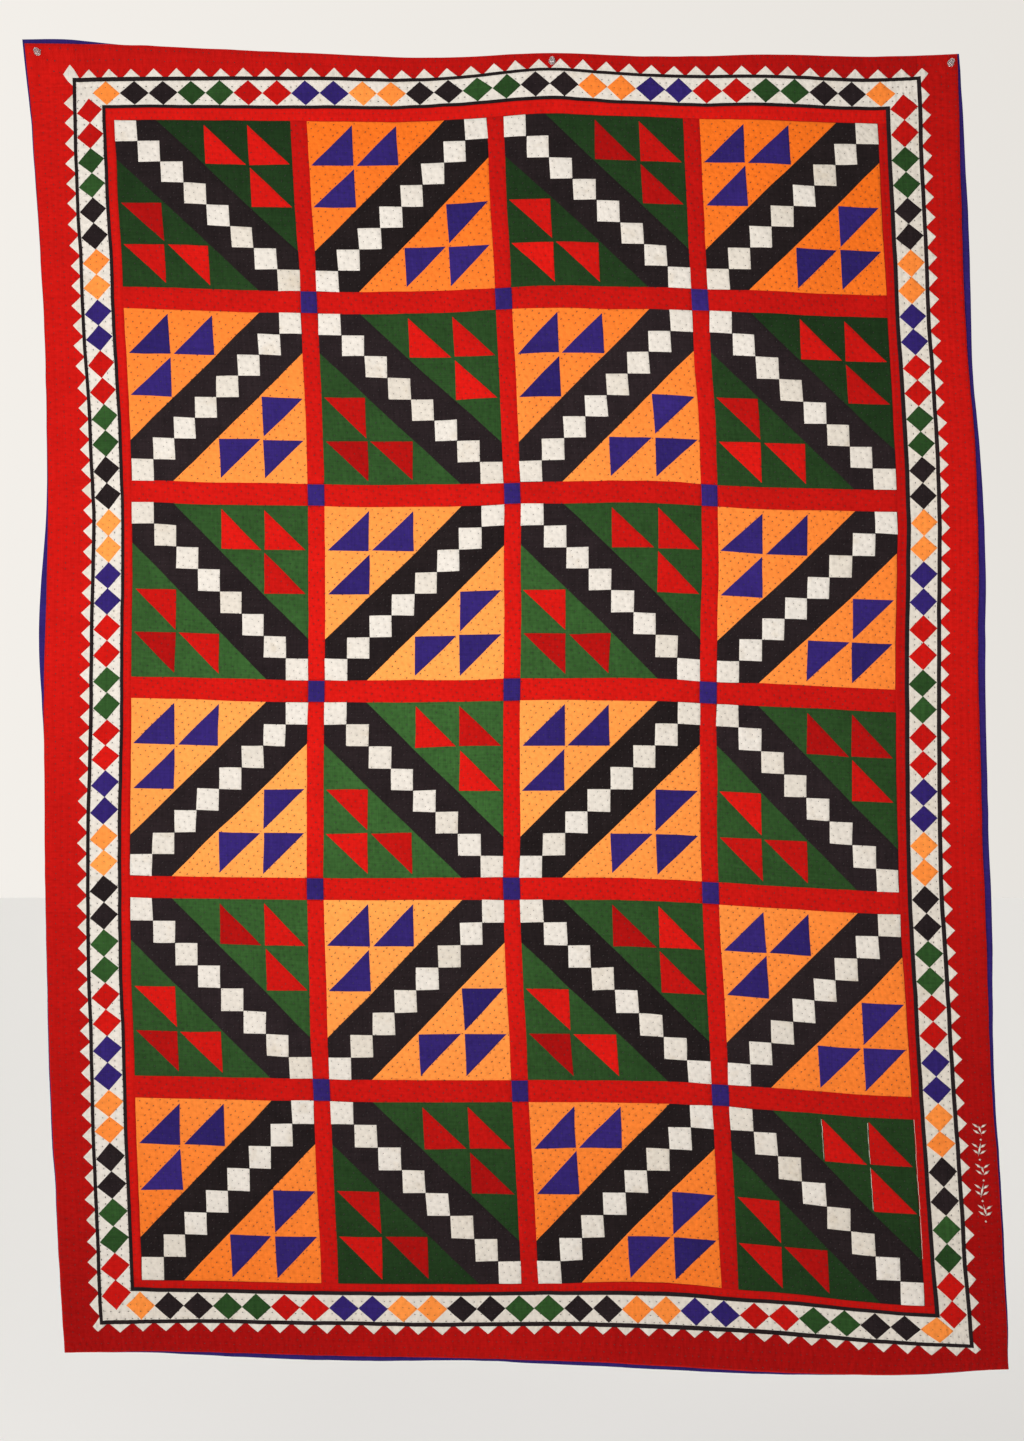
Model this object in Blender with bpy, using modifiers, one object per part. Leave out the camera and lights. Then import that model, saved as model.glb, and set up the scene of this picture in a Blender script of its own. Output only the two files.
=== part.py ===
"""Ralli quilt hung flat against a wall by three push pins.

Units are metres, +Z is up and the quilt faces -Y.  The wall is the plane
y = 0 and the origin is where the middle pin enters it.  Names ending in
_MM are in millimetres.
"""
import math

import bpy
import bmesh
from mathutils import Vector

MM = 0.001

# ---- driving dimensions ---------------------------------------------------
TOP_THICKNESS_MM = 3.5        # pieced top with the old cloth layers inside
BACKING_THICKNESS_MM = 1.0    # plain backing cloth, hem folded in
PLY_GAP_MM = 0.4              # between the layers, and backing to wall
CELLS_ACROSS = 26
CELLS_DOWN = 36

PIN_FLAT_RADIUS_MM = 78.0     # round each pin the quilt lies flat
PIN_FADE_RADIUS_MM = 230.0    # beyond this the pin no longer presses it
PIN_GAP_MM = 0.3
PIN_HOLE_RADIUS_MM = 0.95
PIN_STEEL_RADIUS_MM = 0.55
PIN_STEEL_IN_HEAD_MM = 6.0
PIN_STEEL_LENGTH_MM = 17.5
PIN_TIP_MM = 2.6
PIN_STEPS = 16

# Side edges by height: outline of the top, and how far the backing shows.
#        z_mm    left_x   left_show  right_x  right_show
SIDE_ROWS = (
    (15.0, -762.0, 2.5, 586.0, 3.0),
    (-145.0, -750.0, 1.5, 590.0, 8.5),
    (-290.0, -740.0, 0.8, 591.0, 11.0),
    (-435.0, -735.0, 0.8, 600.0, 6.0),
    (-655.0, -730.5, 2.0, 614.0, 10.0),
    (-870.0, -733.5, 8.5, 616.0, 11.0),
    (-1015.0, -736.5, 0.8, 619.5, 9.0),
    (-1230.0, -733.5, 0.8, 625.0, 8.5),
    (-1450.0, -726.5, 1.2, 635.0, 6.0),
    (-1670.0, -720.0, 0.8, 647.0, 6.5),
    (-1885.0, -706.0, 0.8, 657.5, 4.5),
)

# Top and bottom edges by share of the width from the left.
#        share   top_z   top_show  bottom_z  bottom_show
END_ROWS = (
    (0.00, 24.0, 3.5, -1874.0, 0.8),
    (0.10, 21.5, 2.0, -1869.0, 1.5),
    (0.20, 15.5, 1.5, -1872.0, 4.5),
    (0.30, 8.5, 1.2, -1876.0, 6.0),
    (0.40, 3.0, 0.8, -1879.0, 4.5),
    (0.50, 5.0, 0.8, -1881.5, 3.0),
    (0.56, 10.5, 0.8, -1884.5, 6.0),
    (0.64, 6.0, 0.8, -1889.0, 6.0),
    (0.73, 4.5, 0.8, -1898.0, 1.5),
    (0.86, 6.5, 0.8, -1901.5, 2.5),
    (0.93, 7.0, 0.8, -1895.5, 7.0),
    (1.00, 8.5, 0.8, -1900.0, 1.5),
)

#  name      x_mm     z_mm
PINS = (
    ("left", -746.5, 13.0),
    ("middle", 0.0, 0.0),
    ("right", 578.5, -2.5),
)

# Upright waves of the hanging quilt: where, how wide, how far off the wall.
#  share   width   depth_mm  top_v   bottom_v  lean
UPRIGHT_FOLDS = (
    (0.16, 0.060, 3.5, -0.10, 0.55, 0.03),
    (0.30, 0.080, 7.0, -0.30, 0.42, 0.02),
    (0.47, 0.055, 4.0, -0.10, 0.80, -0.03),
    (0.63, 0.060, 3.5, 0.05, 1.10, 0.04),
    (0.79, 0.075, 7.5, -0.30, 0.50, -0.02),
    (0.24, 0.070, 4.0, 0.45, 1.20, 0.04),
    (0.88, 0.050, 4.0, 0.35, 1.25, 0.02),
    (0.42, 0.090, 4.5, 0.70, 1.30, 0.00),
)

# Places where an edge lifts: side, centre along it, half length, reach, lift.
#  edge      centre   half    reach    lift_mm
EDGE_LIFTS = (
    ("right", 0.30, 0.26, 0.10, 13.0),
    ("right", 0.66, 0.16, 0.07, 6.0),
    ("left", 0.44, 0.18, 0.08, 9.0),
    ("left", 0.10, 0.10, 0.05, 3.0),
    ("bottom", 0.30, 0.20, 0.06, 6.0),
    ("bottom", 0.93, 0.14, 0.08, 10.0),
    ("bottom", 0.66, 0.12, 0.05, 4.0),
)

# Creases drawn tight from a pin: pin, angle below level, length, depth.
#  pin       angle_deg  length_mm  half_width_mm  depth_mm
PULL_CREASES = (
    ("right", 232.0, 620.0, 42.0, 3.2),
    ("middle", 250.0, 520.0, 46.0, 2.4),
    ("middle", 290.0, 520.0, 46.0, 2.6),
    ("left", 305.0, 560.0, 44.0, 2.6),
)

# Push pin head, turned about its axis: radius and height above the cloth.
#  radius_mm  height_mm
HEAD_PROFILE = (
    (0.00, 6.35),
    (0.90, 6.35),
    (0.90, 0.00),
    (5.00, 0.00),
    (5.00, 1.20),
    (4.30, 1.75),
    (2.75, 2.60),
    (2.35, 5.00),
    (2.75, 7.80),
    (3.75, 9.10),
    (3.90, 10.60),
    (3.30, 11.80),
    (0.00, 12.30),
)

COLLECTION_NAME = "ralli_quilt"
CUTTER_COLLECTION_NAME = "cutters"

#  name                      colour (linear)          roughness  metallic
MATERIALS = {
    "red_cotton": ((0.600, 0.009, 0.006), 0.90, 0.0),
    "blue_violet_cotton": ((0.038, 0.017, 0.216), 0.90, 0.0),
    "clear_plastic": ((0.850, 0.870, 0.880), 0.12, 0.0),
    "pin_steel": ((0.620, 0.620, 0.630), 0.28, 1.0),
}


# ---- helpers --------------------------------------------------------------
def smooth(value):
    """Ease from 0 to 1 for a value from 0 to 1."""
    value = min(max(value, 0.0), 1.0)
    return value * value * (3.0 - 2.0 * value)


def from_rows(rows, key, column):
    """Read a column of a table at a key, on a smooth curve through its rows.

    The first column of each row is its key, and keys may rise or fall.
    """
    ordered = sorted(rows, key=lambda row: row[0])
    keys = [row[0] for row in ordered]
    values = [row[column] for row in ordered]
    key = min(max(key, keys[0]), keys[-1])
    low = max(index for index in range(len(keys) - 1) if keys[index] <= key)

    def slope(index):
        before = max(index - 1, 0)
        after = min(index + 1, len(keys) - 1)
        return (values[after] - values[before]) / (keys[after] - keys[before])

    step = keys[low + 1] - keys[low]
    t = (key - keys[low]) / step
    ease = smooth(t)
    start = slope(low) * step * t * (1.0 - t) ** 2
    finish = slope(low + 1) * step * t * t * (1.0 - t)
    return values[low] * (1.0 - ease) + values[low + 1] * ease + start - finish


def outline_point(u, v):
    """Place in the wall plane (mm) at shares u across and v down."""
    top = from_rows(END_ROWS, u, 1)
    bottom = from_rows(END_ROWS, u, 3)
    z = top + (bottom - top) * v
    left = from_rows(SIDE_ROWS, z, 1)
    right = from_rows(SIDE_ROWS, z, 3)
    return left + (right - left) * u, z


def fold_height(u, v):
    """Upright waves, each fading in and out down the quilt."""
    total = 0.0
    for share, width, depth, top_v, bottom_v, lean in UPRIGHT_FOLDS:
        middle = share + lean * (v - 0.5)
        across = math.exp(-(((u - middle) / width) ** 2))
        span = bottom_v - top_v
        down = math.sin(math.pi * min(max((v - top_v) / span, 0.0), 1.0))
        total += depth * across * down * down
    return total


def edge_height(u, v):
    """Edges that stand off the wall."""
    total = 0.0
    for edge, centre, half, reach, lift in EDGE_LIFTS:
        along = u if edge == "bottom" else v
        inward = {"left": u, "right": 1.0 - u, "bottom": 1.0 - v}[edge]
        bump = math.exp(-(((along - centre) / half) ** 2))
        total += lift * bump * math.exp(-inward / reach)
    return total


def crease_height(x, z):
    """Straight ridges that run out from the pins."""
    total = 0.0
    spots = {name: (pin_x, pin_z) for name, pin_x, pin_z in PINS}
    for name, angle, length, half_width, depth in PULL_CREASES:
        pin_x, pin_z = spots[name]
        run_x = math.cos(math.radians(angle))
        run_z = math.sin(math.radians(angle))
        along = (x - pin_x) * run_x + (z - pin_z) * run_z
        aside = (x - pin_x) * run_z - (z - pin_z) * run_x
        if 0.0 < along < length:
            fade = math.sin(math.pi * along / length)
            total += depth * fade * math.exp(-((aside / half_width) ** 2))
    return total


def pin_freedom(x, z):
    """0 where a pin presses the quilt to the wall, 1 away from the pins."""
    freedom = 1.0
    for _, pin_x, pin_z in PINS:
        away = math.hypot(x - pin_x, z - pin_z)
        reach = PIN_FADE_RADIUS_MM - PIN_FLAT_RADIUS_MM
        freedom *= smooth((away - PIN_FLAT_RADIUS_MM) / reach)
    return freedom


def hung_point(u, v):
    """Back face of the quilt top, in mm, as it hangs."""
    x, z = outline_point(u, v)
    off_wall = fold_height(u, v) + edge_height(u, v) + crease_height(x, z)
    off_wall *= pin_freedom(x, z)
    back = PLY_GAP_MM * 2.0 + BACKING_THICKNESS_MM
    return Vector((x, -back - off_wall, z))


def get_material(name):
    """Principled material from the table."""
    material = bpy.data.materials.get(name)
    if material is None:
        colour, roughness, metallic = MATERIALS[name]
        material = bpy.data.materials.new(name)
        material.use_nodes = True
        shader = material.node_tree.nodes["Principled BSDF"]
        shader.inputs["Base Color"].default_value = (*colour, 1.0)
        shader.inputs["Roughness"].default_value = roughness
        shader.inputs["Metallic"].default_value = metallic
        material.diffuse_color = (*colour, 1.0)
    return material


def add_object(name, mesh, collection, material_name=None):
    """Link a mesh as a named object."""
    thing = bpy.data.objects.new(name, mesh)
    collection.objects.link(thing)
    if material_name is not None:
        mesh.materials.append(get_material(material_name))
    return thing


def add_collection(name):
    """Fresh collection in the scene."""
    collection = bpy.data.collections.new(name)
    bpy.context.scene.collection.children.link(collection)
    return collection


# ---- cloth ----------------------------------------------------------------
def show_beyond(u, v):
    """How far the backing reaches beyond the top at an edge point, in mm."""
    _, z = outline_point(u, v)
    reach = 0.0
    if u < 0.001:
        reach = max(reach, from_rows(SIDE_ROWS, z, 2))
    if u > 0.999:
        reach = max(reach, from_rows(SIDE_ROWS, z, 4))
    if v < 0.001:
        reach = max(reach, from_rows(END_ROWS, u, 2))
    if v > 0.999:
        reach = max(reach, from_rows(END_ROWS, u, 4))
    return reach


def beyond_edge(u, v):
    """Edge point of the backing, carried on along the quilt's last cell."""
    edge = hung_point(u, v)
    step_u = 1.0 / CELLS_ACROSS
    step_v = 1.0 / CELLS_DOWN
    inner_u = min(max(u, step_u), 1.0 - step_u)
    inner_v = min(max(v, step_v), 1.0 - step_v)
    outward = edge - hung_point(inner_u, inner_v)
    if outward.length > 0.0:
        edge = edge + outward.normalized() * show_beyond(u, v)
    return edge


def add_sheet(name, material_name, collection, place, setback, thickness, side):
    """Thick sheet on a warped grid; side +1 thickens forward, -1 back."""
    bm = bmesh.new()
    bmesh.ops.create_grid(bm, x_segments=CELLS_ACROSS, y_segments=CELLS_DOWN, size=0.5)
    for vert in bm.verts:
        u = round((vert.co.x + 0.5) * CELLS_ACROSS) / CELLS_ACROSS
        v = round((0.5 - vert.co.y) * CELLS_DOWN) / CELLS_DOWN
        spot = place(u, v)
        spot.y += setback
        vert.co = spot * MM
    for edge in bm.edges:
        edge.smooth = not edge.is_boundary
    for face in bm.faces:
        face.smooth = True
    mesh = bpy.data.meshes.new(name)
    bm.to_mesh(mesh)
    bm.free()
    sheet = add_object(name, mesh, collection, material_name)
    thick = sheet.modifiers.new("thickness", "SOLIDIFY")
    thick.thickness = thickness * MM
    thick.offset = side
    thick.use_even_offset = True
    return sheet


def pierce(sheet, cutter):
    """Cut the pin holes through a sheet."""
    cut = sheet.modifiers.new("pin_holes", "BOOLEAN")
    cut.operation = "DIFFERENCE"
    cut.solver = "EXACT"
    cut.object = cutter


def add_hole_cutter(collection):
    """One body of three pegs, a peg on each pin's axis."""
    bm = bmesh.new()
    for _, pin_x, pin_z in PINS:
        made = bmesh.ops.create_cone(
            bm,
            cap_ends=True,
            segments=12,
            radius1=PIN_HOLE_RADIUS_MM * MM,
            radius2=PIN_HOLE_RADIUS_MM * MM,
            depth=40.0 * MM,
        )
        for vert in made["verts"]:
            radial_x, radial_z, along = vert.co
            vert.co = (radial_x + pin_x * MM, -along, radial_z + pin_z * MM)
    mesh = bpy.data.meshes.new("pin_hole_cutter")
    bmesh.ops.recalc_face_normals(bm, faces=bm.faces)
    bm.to_mesh(mesh)
    bm.free()
    cutter = add_object("pin_hole_cutter", mesh, collection)
    cutter.display_type = "WIRE"
    cutter.hide_render = True
    return cutter


# ---- push pins ------------------------------------------------------------
def add_turned(name, profile, pin_x, pin_z, collection, material_name):
    """Turn a profile about the pin's axis; height runs towards -Y."""
    bm = bmesh.new()
    verts = [bm.verts.new((radius * MM, 0.0, height * MM)) for radius, height in profile]
    for first, second in zip(verts, verts[1:]):
        bm.edges.new((first, second))
    mesh = bpy.data.meshes.new(name)
    bm.to_mesh(mesh)
    bm.free()
    turned = add_object(name, mesh, collection, material_name)
    screw = turned.modifiers.new("turn", "SCREW")
    screw.axis = "Z"
    screw.steps = PIN_STEPS
    screw.render_steps = PIN_STEPS
    screw.use_merge_vertices = True
    screw.merge_threshold = 0.00001
    screw.use_smooth_shade = True
    screw.use_normal_calculate = True
    front = PLY_GAP_MM * 2.0 + BACKING_THICKNESS_MM + TOP_THICKNESS_MM + PIN_GAP_MM
    turned.rotation_euler = (math.radians(90.0), 0.0, 0.0)
    turned.location = (pin_x * MM, -front * MM, pin_z * MM)
    return turned


def steel_profile():
    """Steel point from its end inside the head to its sharp tip."""
    top = PIN_STEEL_IN_HEAD_MM
    tip = top - PIN_STEEL_LENGTH_MM
    return (
        (0.0, top),
        (PIN_STEEL_RADIUS_MM, top),
        (PIN_STEEL_RADIUS_MM, tip + PIN_TIP_MM),
        (0.0, tip),
    )


def main():
    """Build the quilt, its backing and the three pins."""
    for thing in list(bpy.data.objects):
        bpy.data.objects.remove(thing, do_unlink=True)
    collection = add_collection(COLLECTION_NAME)
    cutters = add_collection(CUTTER_COLLECTION_NAME)
    cutter = add_hole_cutter(cutters)

    top = add_sheet("quilt_top", "red_cotton", collection, hung_point, 0.0, TOP_THICKNESS_MM, 1.0)
    pierce(top, cutter)
    backing = add_sheet(
        "backing_cloth",
        "blue_violet_cotton",
        collection,
        beyond_edge,
        PLY_GAP_MM,
        BACKING_THICKNESS_MM,
        -1.0,
    )
    pierce(backing, cutter)

    for label, pin_x, pin_z in PINS:
        add_turned(
            f"pin_{label}_head", HEAD_PROFILE, pin_x, pin_z, collection, "clear_plastic"
        )
        add_turned(
            f"pin_{label}_point", steel_profile(), pin_x, pin_z, collection, "pin_steel"
        )


main()
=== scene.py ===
"""Ralli quilt on push pins: patchwork, quilting stitches and materials.

Lengths are millimetres on the flat cloth unless a name ends in _M.  The flat
cloth is measured across (s) from its left edge and down (t) from its top
edge.  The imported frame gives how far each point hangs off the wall.
"""

import math
from functools import partial

import bpy
import numpy as np
from bpy.props import FloatProperty, FloatVectorProperty, PointerProperty
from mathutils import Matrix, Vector
from mathutils.bvhtree import BVHTree


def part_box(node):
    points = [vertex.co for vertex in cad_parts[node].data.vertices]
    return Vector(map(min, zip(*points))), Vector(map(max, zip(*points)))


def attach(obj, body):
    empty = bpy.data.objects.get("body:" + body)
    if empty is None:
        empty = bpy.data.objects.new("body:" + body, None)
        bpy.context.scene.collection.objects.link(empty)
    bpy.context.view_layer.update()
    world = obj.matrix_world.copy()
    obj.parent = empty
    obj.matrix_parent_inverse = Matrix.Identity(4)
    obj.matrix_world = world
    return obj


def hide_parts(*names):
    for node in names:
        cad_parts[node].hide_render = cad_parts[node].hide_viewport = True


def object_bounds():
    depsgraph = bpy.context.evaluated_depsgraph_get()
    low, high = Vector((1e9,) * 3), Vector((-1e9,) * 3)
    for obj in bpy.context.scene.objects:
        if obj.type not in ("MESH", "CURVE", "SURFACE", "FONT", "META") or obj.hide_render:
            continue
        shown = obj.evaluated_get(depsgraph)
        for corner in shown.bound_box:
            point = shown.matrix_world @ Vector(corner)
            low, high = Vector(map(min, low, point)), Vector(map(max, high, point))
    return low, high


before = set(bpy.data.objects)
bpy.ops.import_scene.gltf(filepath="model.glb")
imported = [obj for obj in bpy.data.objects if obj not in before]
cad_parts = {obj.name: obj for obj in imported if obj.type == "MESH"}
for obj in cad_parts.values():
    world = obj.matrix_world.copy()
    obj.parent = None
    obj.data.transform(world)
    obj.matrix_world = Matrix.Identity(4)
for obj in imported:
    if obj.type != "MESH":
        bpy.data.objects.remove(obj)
CAD_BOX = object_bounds()

bl_info = {
    "name": "Ralli quilt on push pins",
    "version": (1, 0, 0),
    "blender": (4, 5, 0),
    "location": "3D View > Sidebar > Ralli",
    "description": "Builds the patchwork, stitches and finishes of a hung ralli quilt",
    "category": "Object",
}

MM = 0.001

# Gap between the top and the backing, and between the backing and its stitches.
PLY_GAP = 0.4
# Width of the rim inside a sheet's edge, where its edge is rolled.
RIM = 3.0
SQRT_HALF = math.sqrt(0.5)

# ---- how the seams hang ----------------------------------------------------
# Heights (z, mm) at which each upright seam's x is given.
SEAM_HEIGHTS = (7.0, -131.0, -348.0, -631.0, -914.0, -1204.0, -1494.0, -1762.0, -1885.0)

#  upright seam   flat s    x at each of the heights
UPRIGHT_SEAMS = (
    ("left edge", 0.0, (-764.0, -752.0, -739.0, -731.0, -736.0, -736.0, -727.0, -714.0, -707.0)),
    ("outer line", 58.5, (-694.0, -690.0, -681.0, -665.0, -668.0, -673.0, -667.0, -657.0, -651.0)),
    ("inner line", 103.0, (-654.0, -647.0, -637.0, -623.0, -624.0, -627.0, -620.0, -609.0, -603.0)),
    ("field left", 119.0, (-639.0, -632.0, -621.0, -609.0, -610.0, -612.0, -605.0, -595.0, -589.0)),
    ("sash one", 387.0, (-373.0, -365.0, -352.0, -342.0, -342.0, -343.0, -334.0, -322.0, -316.0)),
    ("sash two", 671.0, (-87.0, -81.0, -70.0, -58.0, -58.0, -58.0, -46.0, -32.0, -26.0)),
    ("sash three", 957.0, (198.0, 204.0, 214.0, 229.0, 227.0, 230.0, 244.0, 257.0, 263.0)),
    ("field right", 1227.0, (468.0, 474.0, 484.0, 499.0, 498.0, 503.0, 521.0, 537.0, 544.0)),
    ("inner line", 1242.0, (484.0, 490.0, 499.0, 515.0, 515.0, 518.0, 535.0, 553.0, 564.0)),
    ("outer line", 1288.0, (531.0, 536.0, 544.0, 559.0, 561.0, 564.0, 583.0, 600.0, 609.0)),
    ("right edge", 1344.0, (589.0, 592.0, 597.0, 615.0, 618.0, 626.0, 639.0, 656.0, 661.0)),
)

# Places (x, mm) at which each level seam's z is given.
SEAM_PLACES = (-757.0, -597.0, -380.0, -162.0, 0.0, 128.0, 302.0, 476.0, 592.0)

#  level seam     flat t    z at each of the places
LEVEL_SEAMS = (
    ("top edge", 0.0, (26.0, 24.0, 12.0, 6.0, 13.0, 8.0, 8.0, 8.0, 11.0)),
    ("outer line", 32.0, (-31.0, -26.0, -27.0, -26.0, -11.0, -20.0, -24.0, -27.0, -21.0)),
    ("inner line", 71.5, (-69.0, -65.0, -69.0, -65.0, -53.0, -61.0, -65.0, -68.0, -64.0)),
    ("field top", 94.0, (-89.0, -85.0, -89.0, -87.0, -76.0, -81.0, -87.0, -90.0, -86.0)),
    ("sash one", 357.0, (-339.0, -344.0, -350.0, -350.0, -342.0, -344.0, -351.0, -357.0, -360.0)),
    ("sash two", 639.0, (-619.0, -624.0, -629.0, -630.0, -626.0, -625.0, -634.0, -638.0, -640.0)),
    ("sash three", 924.5, (-906.0, -908.0, -914.0, -914.0, -911.0, -912.0, -919.0, -928.0, -931.0)),
    ("sash four", 1214.5, (-1196.0, -1198.0, -1201.0, -1201.0, -1201.0, -1202.0, -1211.0, -1221.0, -1224.0)),
    ("sash five", 1507.0, (-1486.0, -1488.0, -1492.0, -1494.0, -1494.0, -1495.0, -1504.0, -1517.0, -1521.0)),
    ("field bottom", 1786.5, (-1765.0, -1767.0, -1771.0, -1773.0, -1773.0, -1771.0, -1784.0, -1800.0, -1805.0)),
    ("inner line", 1801.5, (-1781.0, -1781.0, -1785.0, -1787.0, -1787.0, -1787.0, -1798.0, -1812.0, -1819.0)),
    ("outer line", 1846.0, (-1834.0, -1828.0, -1828.0, -1831.0, -1831.0, -1834.0, -1842.0, -1855.0, -1861.0)),
    ("bottom edge", 1894.0, (-1875.0, -1872.0, -1875.0, -1880.0, -1885.0, -1891.0, -1901.0, -1904.0, -1899.0)),
)

S_LINES = [row[1] for row in UPRIGHT_SEAMS]
T_LINES = [row[1] for row in LEVEL_SEAMS]
WIDTH = S_LINES[-1]
LENGTH = T_LINES[-1]
OUTER_S = (S_LINES[1], S_LINES[9])
INNER_S = (S_LINES[2], S_LINES[8])
FIELD_S = (S_LINES[3], S_LINES[7])
SASH_S = S_LINES[4:7]
OUTER_T = (T_LINES[1], T_LINES[11])
INNER_T = (T_LINES[2], T_LINES[10])
FIELD_T = (T_LINES[3], T_LINES[9])
SASH_T = T_LINES[4:9]

# ---- patchwork -------------------------------------------------------------
# Shares of a block's side.
BAND_EDGE = 0.236
SQUARES = 8
TRIANGLE_TOP_GAP = 0.023
TRIANGLE_TIP_GAP = 0.013
TRIANGLE_SIDE_GAP = 0.004
TRIANGLE_BASE_GAP = -0.006
#  quarter cell of each triangle on the block's upper right: column, row
TRIANGLE_CELLS = ((2, 0), (3, 0), (3, 1))

# Diamonds of the white band, in the order they were sewn.  The marks give how
# far along the side the points meet after so many diamonds.
#  side      colours, one letter a diamond      marks      slant
DIAMOND_SIDES = (
    ("top", "OKKGGRRBBOOKKGGKKOOBBRRGGKKO", ((0, 87), (14, 669), (28, 1254)), 0.8),
    ("bottom", "OKKGGRRBBOOKKGGKKOOBBRRGGKKO", ((0, 94), (14, 676), (28, 1262)), 0.6),
    (
        "left",
        "RRGGKKOOBBRRGGKKOOBBRRGGRRBBOOKKGGRRBBOOKKGGRR",
        ((0, 59), (10, 437), (20, 820), (30, 1199), (40, 1590), (46, 1829)),
        6.5,
    ),
    (
        "right",
        "RRGGKKOOBBRRGGKKOOBBRRGGRRBBOOKKGGRRBBOOKKGGRR",
        ((0, 53), (10, 426), (20, 801), (30, 1189), (40, 1576), (46, 1820)),
        -3.0,
    ),
)
DIAMOND_CLOTHS = {
    "O": "orange",
    "K": "black",
    "G": "green",
    "R": "red",
    "B": "violet",
}

# Saw teeth outside the outer line.
#  side      teeth   height   base share   places of some teeth along the side
TOOTH_SIDES = (
    ("top", 37, 15.4, 0.96, ((1, 81), (37, 1263))),
    ("bottom", 37, 14.8, 0.97, ((1, 84), (37, 1264))),
    ("left", 59, 15.6, 1.00, ((1, 65), (10, 342), (30, 938), (50, 1549), (59, 1823))),
    ("right", 59, 15.4, 0.98, ((1, 56), (10, 316), (30, 915), (50, 1526), (59, 1811))),
)

# Widths of the narrow black lines by side.
LINE_WIDTHS = {
    "top": 4.8,
    "bottom": 5.8,
    "left": 5.0,
    "right": 5.9,
}

# How far the backing shows past the top, by share along each edge.
#  share   left   right   top    bottom
BACKING_SHOWS = (
    (0.00, 2.5, 3.0, 3.5, 0.8),
    (0.03, 2.0, 5.0, 4.2, 0.8),
    (0.10, 1.3, 9.0, 0.3, 3.0),
    (0.16, 0.8, 11.0, 0.3, 5.5),
    (0.25, 0.8, 6.0, 0.3, 7.5),
    (0.35, 2.2, 9.5, 0.3, 6.5),
    (0.44, 8.5, 11.0, 0.8, 3.5),
    (0.52, 1.0, 9.0, 0.8, 5.0),
    (0.66, 0.8, 8.5, 0.8, 4.5),
    (0.76, 1.6, 5.0, 0.8, 2.6),
    (0.84, 2.0, 3.2, 0.8, 0.8),
    (0.94, 0.8, 2.6, 0.8, 1.6),
    (1.00, 0.8, 0.8, 0.8, 0.8),
)

# Distance of the first row of border stitches from the edge.
FIRST_ROW = 5.0

# How far painted shade darkens the red of the border, from 0 to past 1, along its sides: darkest at the bottom
# and towards the right, where the light falls off.
#  share along   left   right   top   bottom
BORDER_SHADE_TONES = (
    (0.00, 0.30, 0.75, 0.42, 1.05),
    (0.15, 0.38, 0.50, 0.55, 1.00),
    (0.30, 0.34, 0.40, 0.55, 0.90),
    (0.45, 0.30, 0.36, 0.66, 0.74),
    (0.60, 0.52, 0.55, 0.76, 0.95),
    (0.75, 0.68, 0.92, 0.78, 1.15),
    (0.90, 0.86, 1.10, 0.88, 1.25),
    (1.00, 1.10, 1.10, 0.95, 1.20),
)

# Where the quilting draws the cloth into ripples across its stitch rows.
#  middle s   middle t   reach s   reach t   strength
PUCKERED_SPOTS = (
    (20.0, 1800.0, 90.0, 260.0, 1.2),
    (1320.0, 1740.0, 90.0, 280.0, 1.1),
    (20.0, 1300.0, 80.0, 280.0, 0.6),
    (30.0, 60.0, 80.0, 200.0, 0.6),
    (1325.0, 500.0, 70.0, 320.0, 0.5),
    (300.0, 1880.0, 320.0, 60.0, 0.6),
    (1000.0, 1880.0, 300.0, 60.0, 0.6),
    (1290.0, 60.0, 120.0, 80.0, 0.6),
)


def linear(colour):
    """sRGB hex to linear red, green and blue."""
    parts = [int(colour[i : i + 2], 16) / 255.0 for i in (1, 3, 5)]
    return tuple(p / 12.92 if p <= 0.04045 else ((p + 0.055) / 1.055) ** 2.4 for p in parts)


# ---- settings --------------------------------------------------------------
def dye(label, about, colour):
    """Colour setting of one cloth or thread."""
    return FloatVectorProperty(
        name=label, description=about, default=linear(colour), size=3, subtype="COLOR", min=0.0, max=1.0
    )


def size_mm(label, about, default, low, high):
    """Size setting in millimetres."""
    return FloatProperty(name=label, description=about, default=default, min=low, max=high)


class RalliColours(bpy.types.PropertyGroup):
    """Dyes of the cloths and threads."""

    # Each cloth's second colour is mixed in by a patch's tone. For red, green and orange it is darker and
    # stands mostly for painted shade towards the edges and bottom; black and violet use it partly as painted
    # shade and partly as another dye lot; the white's is aged cloth.
    red: dye("Red cotton", "Ground cloth, sashes and border", "#D4140C")
    red_alt: dye("Red cotton, other lot", "Second dye lot of the red", "#A00706")
    green: dye("Green cotton", "Corners of every second block", "#355E2C")
    green_alt: dye("Green cotton, other lot", "Bluer dye lot of the green", "#142A12")
    orange: dye("Orange cotton", "Corners of the other blocks", "#FFA551")
    orange_alt: dye("Orange cotton, other lot", "Second dye lot of the orange", "#F06D16")
    violet: dye("Blue-violet cotton", "Triangles, corner stones and backing", "#322270")
    violet_alt: dye("Blue-violet cotton, other lot", "Second dye lot of the violet", "#281C60")
    black: dye("Black cotton", "Diagonal bands and narrow lines", "#1D1617")
    black_alt: dye("Black cotton, other lot", "Browner dye lot of the black", "#261D20")
    white: dye("White cotton", "Squares, band and saw teeth", "#E2DCD4")
    white_alt: dye("White cotton, aged", "Yellowed parts of the white", "#D9D1C5")
    stain: dye("Stain", "Tan marks on the white cotton", "#B9A27C")
    # The quilting thread's dark colour is partly painted shade, where the stitches sink into the cloth.
    thread: dye("Quilting thread", "Running stitches", "#241518")
    floss: dye("White floss", "Embroidered sprigs in the border", "#E4DDD2")
    studio: dye("Studio floor", "Floor and surroundings", "#F1F0ED")


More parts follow.
